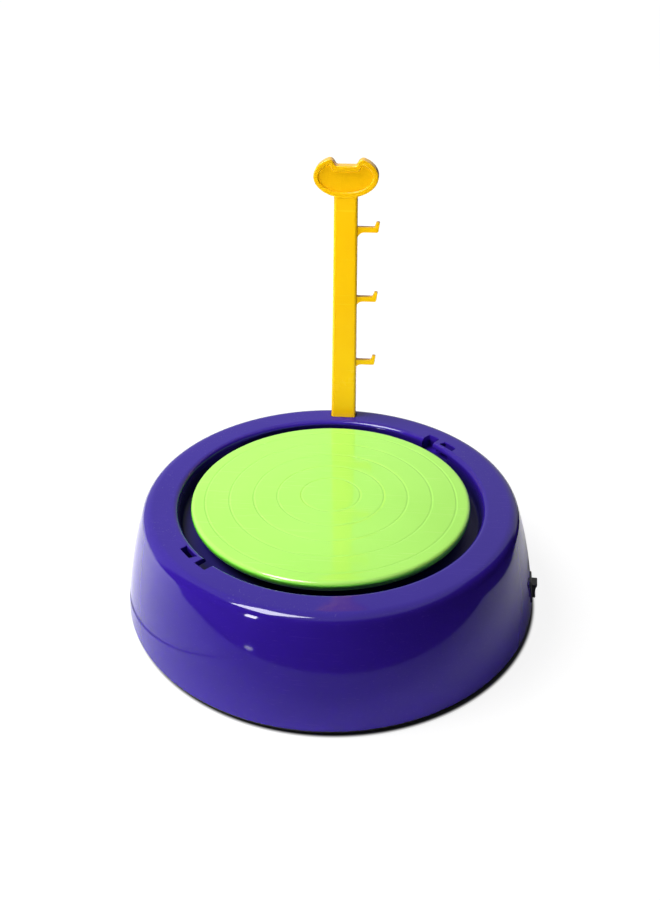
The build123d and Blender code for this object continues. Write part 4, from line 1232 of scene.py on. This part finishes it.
def addPockets(bm):
    # lightening pockets in the back of the post
    step = (arm["pocketTop"] - arm["pocketBottom"]) / arm["pocketCount"]
    back = arm["front"] + arm["depth"]
    floor, wall, corner = back - arm["pocketDepth"], arm["pocketWall"], arm["pocketCorner"]
    lip, floorRound = pick(arm, "pocketLip", "pocketFloorRound")
    for i in range(arm["pocketCount"]):
        low = arm["pocketBottom"] + i * step
        high = low + step - arm["pocketRib"]
        lowHalf, highHalf = armHalfWidth(low) - wall, armHalfWidth(high) - wall
        sides = ((-lowHalf, low), (lowHalf, low), (highHalf, high), (-highHalf, high))
        outline = roundCorners([(*place, corner) for place in sides])
        addFlaredCut(bm, outline, floor, lambda point: back, lip, floorRound, backFrame())


def buildArm():
    yellow = finishes["yellow_plastic"]
    post = bmesh.new()
    addPost(post)
    piece = pieceFromSolid("toolArm", post)
    front, back = arm["front"] - armHead["proud"], arm["front"] + arm["depth"] + armHead["proud"]
    middle, halfDepth = arm["front"] + arm["depth"] / 2, armHook["depth"] / 2
    oneHook = bmesh.new()
    hookBack, hookFront = -(middle + halfDepth), -(middle - halfDepth)
    addSlab(oneHook, hookOutline(), hookBack, hookFront, armHook["edgeRound"], frontFrame())
    hooks = pieceFromSolid("armHooks", oneHook)
    heights = armHook["heights"]
    step = (heights[0] - heights[1]) * metre
    runTree(hooks, rowTree, count=len(heights), step=(0.0, 0.0, step), finish=yellow)
    added, removed = bmesh.new(), bmesh.new()
    notch, inset = armHead["notchWidth"] / 2, armHead["recessInset"]
    head = notchedOval(0, notch, armHead["hornRound"], armHead["notchRound"], armHead["hornSkip"], 8)
    addSlab(added, head, -back, -front, armHead["edgeRound"], frontFrame())
    recessRound, lip, floorRound = pick(armHead, "recessRound", "recessLip", "recessFloorRound")
    recess = notchedOval(
        armHead["border"], notch + inset, recessRound, recessRound, armHead["recessSkip"], 6
    )
    for place, face in ((frontFrame(), -front), (backFrame(), back)):
        addFlaredCut(removed, recess, face - armHead["recess"], lambda point: face, lip, floorRound, place)
    addPockets(removed)
    hooks.data.transform(Matrix.Scale(1 / metre, 4))
    added.from_mesh(hooks.data)
    bpy.data.meshes.remove(hooks.data)
    addAndCut(piece, added, removed, yellow)
    settle(piece, "arm", "yellow_plastic", "tool_arm")


buildArm()


# feet and screws

foot = {
    "radius": 7.0,
    "height": 2.0,
    "edgeRound": 0.5,
    "topRound": 0.1,
    "dish": 0.25,
    "dishRadius": 5.0,
    "dishSlope": 0.6,
    "dishRound": 0.3,
    "circle": 100.0,
    "count": 5,
    "first": 18,
    "longestEdge": 1.0,
    "segments": 48,
}
screw = {
    "headRadius": 3.0,
    "headHeight": 2.2,
    "headRound": 0.8,
    "seat": 6.4,
    "seatRound": 0.1,
    "shankRadius": 1.5,
    "top": 20.0,
    "pitch": 1.0,
    "threadStart": 1.0,
    "threadDepth": 0.25,
    "tip": (0.3, 0.8),
    "recessShare": 0.62,
    "recessWidth": 0.75,
    "recessNarrowest": 0.3,
    "recessLevels": ((1.1, -0.3), (1.0, 0.0), (0.55, 1.1)),  # share of the width, height over the face
    "segments": 40,
}


def copyRound(piece, count, circle, first, finish):
    radius, firstAngle = circle * metre, math.radians(first)
    runTree(piece, ringTree, count=count, radius=radius, firstAngle=firstAngle, finish=finish)


def buildFeet():
    rubber = finishes["foot_rubber"]
    radius, height, dish = pick(foot, "radius", "height", "dishRadius")
    corners = [
        (0, foot["dish"]),
        (dish - foot["dishSlope"], foot["dish"]),
        (dish, 0, foot["dishRound"]),
        (radius, 0, foot["edgeRound"]),
        (radius, height, foot["topRound"]),
        (0, height),
    ]
    outline = divide(roundCorners(corners, 6), foot["longestEdge"])
    feet = spin("rubberFeet", outline, rubber, foot["segments"], closed=False)
    copyRound(feet, foot["count"], foot["circle"], foot["first"], rubber)
    settle(feet, "base", "foot_rubber", "rubber_feet")


def addCrossRecess(bm):
    # a driver's cross that narrows upwards into the head
    face = screw["seat"] - screw["headHeight"]
    size, width = 2 * screw["recessShare"] * screw["headRadius"], screw["recessWidth"]
    for across in ((size, width), (width, size)):
        rings = []
        for share, rise in screw["recessLevels"]:
            outline = rectangle(across[0] * share, max(across[1] * share, screw["recessNarrowest"]))
            rings.append(atHeight(outline, face + rise))
        stackRings(bm, rings)


def screwOutline():
    # pan head down, shank up with its thread as ridges
    head, shank, seat, top = pick(screw, "headRadius", "shankRadius", "seat", "top")
    face, pitch, start = seat - screw["headHeight"], screw["pitch"], screw["threadStart"]
    corners = [(0, face), (head, face, screw["headRound"]), (head, seat), (shank, seat, screw["seatRound"])]
    for turn in range(int((top - seat - 2 * start) / pitch)):
        height = seat + start + turn * pitch
        corners += [(shank - screw["threadDepth"], height), (shank, height + pitch / 2)]
    corners += [(shank - screw["tip"][0], top - screw["tip"][1]), (0, top)]
    return roundCorners(corners, 6)


def buildHousingScrews():
    steel = finishes["steel"]
    screws = spin("housingScrews", screwOutline(), steel, screw["segments"], closed=False)
    removed = bmesh.new()
    addCrossRecess(removed)
    addAndCut(screws, bmesh.new(), removed, steel)
    angles = housing["screwAngles"]
    copyRound(screws, len(angles), housing["screwCircle"], angles[0], steel)
    settle(screws, "base", "steel", "housing_screws")


buildFeet()
buildHousingScrews()


# switch

rocker = {
    "halfLength": 4.6,
    "halfWidth": 3.4,
    "tilt": 10.0,
    "pivotDepth": 1.0,
    "endRise": 4.4,
    "middleRise": 3.5,
    "draft": 0.4,
    "keel": 1.6,
    "keelDepth": 2.6,
    "pinRadius": 0.9,
    "pinHalf": 3.85,
    "pinRound": 0.15,
    "keelRound": 0.3,
    "padRound": 0.45,
    "edgeRound": 0.35,
}
rockerMarks = {
    "place": 2.75,
    "bar": (2.2, 0.5, 0.2),
    "barRound": 0.03,
    "ringRadius": 1.05,
    "ringWidth": 0.42,
    "ringSteps": 40,
    "proud": 0.04,
    "sunk": 0.4,
}


def rockerFrame():
    # X up the wall, Y out of it and Z along it, turned about the rocker's pin
    place = switchFrame()
    order = Matrix(((0, 0, 1, 0), (1, 0, 0, 0), (0, 1, 0, 0), (0, 0, 0, 1)))
    pin = Matrix.Translation((0, -rocker["pivotDepth"], 0))
    return place @ order @ pin @ Matrix.Rotation(math.radians(rocker["tilt"]), 4, "Z")


def rockerTop():
    # the hollow of the finger pad, from the lower end to the upper one
    half, rise = pick(rocker, "halfLength", "endRise")
    return arcThrough((-half, rise), (0, rocker["middleRise"]), (half, rise), 16)


def buildRocker():
    black = finishes["black_gloss"]
    half, pin, width = pick(rocker, "halfLength", "pinRadius", "halfWidth")
    keel, depth, lowRound = pick(rocker, "keel", "keelDepth", "keelRound")
    draft, padRound = pick(rocker, "draft", "padRound")
    pad = rockerTop()
    corners = [
        (-keel, -depth, lowRound),
        (keel, -depth, lowRound),
        (half - draft, -pin, lowRound),
        (*pad[-1], padRound),
        *reversed(pad[1:-1]),
        (*pad[0], padRound),
        (-half + draft, -pin, lowRound),
    ]
    place = rockerFrame()
    bm, pins = bmesh.new(), bmesh.new()
    addSlab(bm, roundCorners(corners, 5), -width, width, rocker["edgeRound"], place)
    addSlab(pins, oval(pin, pin, 32), -rocker["pinHalf"], rocker["pinHalf"], rocker["pinRound"], place)
    piece = pieceFromSolid("switchRocker", bm)
    addAndCut(piece, pins, bmesh.new(), black)
    settle(piece, "rocker", "black_gloss", "switch_rocker")


def buildRockerMarks():
    # a bar on the upper half and a ring on the lower one, filled with white
    bm = bmesh.new()
    place, pad = rockerFrame(), rockerTop()
    low, high, radius = -rockerMarks["sunk"], rockerMarks["proud"], rockerMarks["ringRadius"]
    lying = Matrix(((1, 0, 0, 0), (0, 0, 1, 0), (0, -1, 0, 0), (0, 0, 0, 1)))
    stands = []
    for side in (1, -1):
        here = min(pad, key=lambda point: abs(point.x - side * rockerMarks["place"]))
        slope = math.atan2(here.y - rocker["middleRise"], here.x) * 2
        stand = place @ Matrix.Translation((here.x, here.y, 0)) @ Matrix.Rotation(slope, 4, "Z")
        stands.append(stand @ lying)
    addSlab(bm, rectangle(*rockerMarks["bar"]), low, high, rockerMarks["barRound"], stands[0])
    outer = oval(radius, radius, rockerMarks["ringSteps"])
    inner = [point * (1 - rockerMarks["ringWidth"] / radius) for point in outer]
    loops = [atHeight(outer, low), atHeight(outer, high), atHeight(inner, high), atHeight(inner, low)]
    stackRings(bm, loops, stands[1], hollow=True)
    marks = pieceFromSolid("switchMarks", bm)
    marks.data.materials.append(finishes["white_plastic"])
    settle(marks, "rocker", "white_plastic")


buildRocker()
buildRockerMarks()


# studio

studio = {
    "cameraPlace": (0.032535, -0.36455, 0.304),
    "cameraPitch": 34.1,
    "cameraTurn": 5.17,
    "focalPixels": 803.0,
    "imageHeight": 900,
    "principalRow": 500,
    "fill": 0.16,
    "darkFrom": -95.0,
    "darkTo": 130.0,
    "darkTop": 52.0,
    "darkSoft": 4.0,
    "dark": 0.015,
    "bright": 0.56,
}
paper = {
    "size": 30.0,
    "bounce": 2.2,
    "shadow": 0.2,
    "glow": (0.89, 1.0),
    "glowEdge": (0.2, 0.6),
    "contactMiddle": (0.0015, 0.0, 0.0),
    "contactEdge": (0.1145, 0.1168),
    "sheetMiddle": (-0.04, 0.11, 0.0),
    "sheetRadius": 0.343,
    "sheetSide": (0.86, 0.505, 0.0),
    "sheetSideAt": 0.198,
    "sheetSoft": 0.004,
    "mirrored": (1.1, 0.28),
    "mirroredSlope": (0.15, -1.0, 0.0),
    "mirroredEdge": (-0.02, 0.17),
    "seam": -0.115,
    "seamHalf": 0.0015,
    "seamReach": -0.25,
    "seamShade": 0.7,
    "glint": (-0.133, -0.246, 0.0),
    "glintRadius": 0.012,
    "glintGlow": 5.0,
}
lamps = {
    "keySoftbox": {
        "kind": "AREA", "place": (-0.5, 0.0, 0.82), "aim": (0, 0, 0.04), "size": (0.5, 0.5), "power": 10.6
    },
    "stripLight": {
        "kind": "AREA", "place": (-0.45, -0.38, 1.1), "turn": 40, "size": (0.6, 0.46), "power": 13.5,
        "mirrored": True
    },
    "frontLamp": {
        "kind": "AREA", "place": (-0.74, -1.06, 0.22), "aim": (0, -0.1, 0.05), "size": (0.14, 0.42),
        "power": 3.6, "mirrored": True
    },
    "armSpot": {
        "kind": "SPOT", "place": (-0.35, -1.2, 0.3), "aim": (0, 0.09, 0.138), "beam": 10.0, "blend": 0.25,
        "soft": 0.06, "power": 52.0
    },
}


def placeCamera():
    camera = bpy.data.cameras.new("camera")
    camera.sensor_width = 36.0
    camera.lens = studio["focalPixels"] / studio["imageHeight"] * camera.sensor_width
    camera.shift_y = (studio["principalRow"] - studio["imageHeight"] / 2) / studio["imageHeight"]
    camera.clip_start, camera.clip_end = 0.01, 100.0
    holder = bpy.data.objects.new("camera", camera)
    holder.location = studio["cameraPlace"]
    tilt = math.radians(90 - studio["cameraPitch"])
    holder.rotation_euler = (tilt, 0, math.radians(studio["cameraTurn"]))
    scene.collection.objects.link(holder)
    scene.camera = holder


def placeLamps():
    # a lamp either aims at a place or hangs level, and shows in reflections or lights the object
    for name, lamp in lamps.items():
        light = bpy.data.lights.new(name, lamp["kind"])
        light.energy = lamp["power"]
        if lamp["kind"] == "AREA":
            light.shape = "RECTANGLE"
            light.size, light.size_y = lamp["size"]
        else:
            light.spot_size = math.radians(lamp["beam"])
            light.spot_blend = lamp["blend"]
            light.shadow_soft_size = lamp["soft"]
        holder = bpy.data.objects.new(name, light)
        holder.location = lamp["place"]
        if "aim" in lamp:
            direction = Vector(lamp["aim"]) - holder.location
            holder.rotation_euler = direction.to_track_quat("-Z", "Y").to_euler()
        else:
            holder.rotation_euler = (0, 0, math.radians(lamp["turn"]))
        holder.visible_glossy = lamp.get("mirrored", False)
        holder.visible_diffuse = not holder.visible_glossy
        scene.collection.objects.link(holder)


def frontShare(tree, x, y):
    # 1 where a direction points to the dark side of the room, in front and to the right
    azimuth = calc(tree, "ARCTAN2", x, calc(tree, "MULTIPLY", y, -1.0))
    start, end, soft = [math.radians(studio[name]) for name in ("darkFrom", "darkTo", "darkSoft")]
    rising = band(tree, azimuth, start - soft, start + soft)
    falling = band(tree, azimuth, end + soft, end - soft)
    return calc(tree, "MULTIPLY", rising, falling)


def lightRoom():
    # white to the camera, a soft grey fill, and a dark room in front for reflections
    world = bpy.data.worlds.new("studio")
    scene.world = world
    world.use_nodes = True
    tree = world.node_tree
    tree.nodes.clear()
    ray = putNode(tree, "ShaderNodeLightPath").outputs
    parts = split(tree, putNode(tree, "ShaderNodeTexCoord").outputs["Generated"])
    top, soft = math.radians(studio["darkTop"]), math.radians(studio["darkSoft"])
    low = band(tree, calc(tree, "ARCSINE", parts[2]), top + soft, top - soft)
    dark = calc(tree, "MULTIPLY", frontShare(tree, parts[0], parts[1]), low)
    room = mixValue(tree, ray["Is Glossy Ray"], studio["fill"], studio["bright"])
    room = mixValue(tree, dark, room, studio["dark"])
    seen = calc(tree, "MAXIMUM", ray["Is Camera Ray"], ray["Is Transmission Ray"])
    strength = mixValue(tree, seen, room, 1.0)
    glow = putNode(tree, "ShaderNodeBackground", {"Color": (1, 1, 1, 1), "Strength": strength})
    putNode(tree, "ShaderNodeOutputWorld", {"Surface": glow.outputs[0]})


def layFloor():
    # a plain pale floor: white to the camera with its shadow kept, and a painted contact shadow under the
    # housing;
    # in reflections a sheet of paper with painted shade towards the front, a seam at the left and a painted
    # glint beyond its edge
    bm = bmesh.new()
    square = atHeight(rectangle(paper["size"], paper["size"]), 0)
    bm.faces.new([bm.verts.new(point) for point in square])
    mesh = bpy.data.meshes.new("floor")
    bm.to_mesh(mesh)
    bm.free()
    floor = newPiece("floor", mesh)
    material = bpy.data.materials.new("paleFloor")
    material.use_nodes = True
    material.cycles.emission_sampling = "NONE"
    tree = material.node_tree
    tree.nodes.clear()
    ray = putNode(tree, "ShaderNodeLightPath").outputs
    glossy, camera = ray["Is Glossy Ray"], ray["Is Camera Ray"]
    place = putNode(tree, "ShaderNodeNewGeometry").outputs["Position"]
    parts = split(tree, place)

    def away(middle, low, high):
        return band(tree, measure(tree, "DISTANCE", place, middle), low, high)

    reach, sideAt, soft = pick(paper, "sheetRadius", "sheetSideAt", "sheetSoft")
    front = away(paper["sheetMiddle"], reach, reach + soft)
    side = band(tree, measure(tree, "DOT_PRODUCT", place, paper["sheetSide"]), sideAt, sideAt + soft)
    beyond = calc(tree, "MAXIMUM", front, side)
    dark = calc(tree, "MULTIPLY", beyond, frontShare(tree, parts[0], parts[1]))
    onSeam = calc(tree, "COMPARE", parts[0], paper["seam"], paper["seamHalf"])
    onSeam = calc(tree, "MULTIPLY", onSeam, calc(tree, "GREATER_THAN", parts[1], paper["seamReach"]))
    shaded = calc(tree, "MAXIMUM", dark, calc(tree, "MULTIPLY", onSeam, paper["seamShade"]))
    lit = calc(tree, "SUBTRACT", 1.0, shaded)
    # painted shade: what reflections see of the sheet dims from the left towards the front and right
    bright, dim = paper["mirrored"]
    start, end = paper["mirroredEdge"]
    slope = measure(tree, "DOT_PRODUCT", place, paper["mirroredSlope"])
    share = putNode(tree, "ShaderNodeMapRange", {0: slope, 1: start, 2: end, 3: bright, 4: dim}).outputs[0]
    mirrored = calc(tree, "MULTIPLY_ADD", lit, share, studio["dark"])
    bounce = calc(tree, "MULTIPLY", calc(tree, "SUBTRACT", 1.0, dark), paper["bounce"])
    colour = mixValue(tree, glossy, bounce, mirrored)
    colour = mixValue(tree, camera, colour, paper["shadow"])
    near, far = paper["glow"]
    glow = calc(tree, "MULTIPLY_ADD", away((0, 0, 0), *paper["glowEdge"]), far - near, near)
    # painted contact shadow: the floor's glow falls to dark in a thin ring under the housing's edge
    glow = calc(tree, "MULTIPLY", glow, away(paper["contactMiddle"], *paper["contactEdge"]))
    # painted glint: a small spot beyond the sheet's edge that glows only in reflections
    glint = away(paper["glint"], paper["glintRadius"], paper["glintRadius"] / 2)
    glint = calc(tree, "MULTIPLY", calc(tree, "MULTIPLY", glint, glossy), paper["glintGlow"])
    glow = calc(tree, "MULTIPLY_ADD", glow, camera, glint)
    diffuse = putNode(tree, "ShaderNodeBsdfDiffuse", {"Color": colour}).outputs[0]
    emission = putNode(tree, "ShaderNodeEmission", {"Strength": glow}).outputs[0]
    both = putNode(tree, "ShaderNodeAddShader", {0: diffuse, 1: emission}).outputs[0]
    putNode(tree, "ShaderNodeOutputMaterial", {"Surface": both})
    mesh.materials.append(material)


placeCamera()
placeLamps()
lightRoom()
layFloor()
scene.view_settings.view_transform = "Standard"
print("studio set")
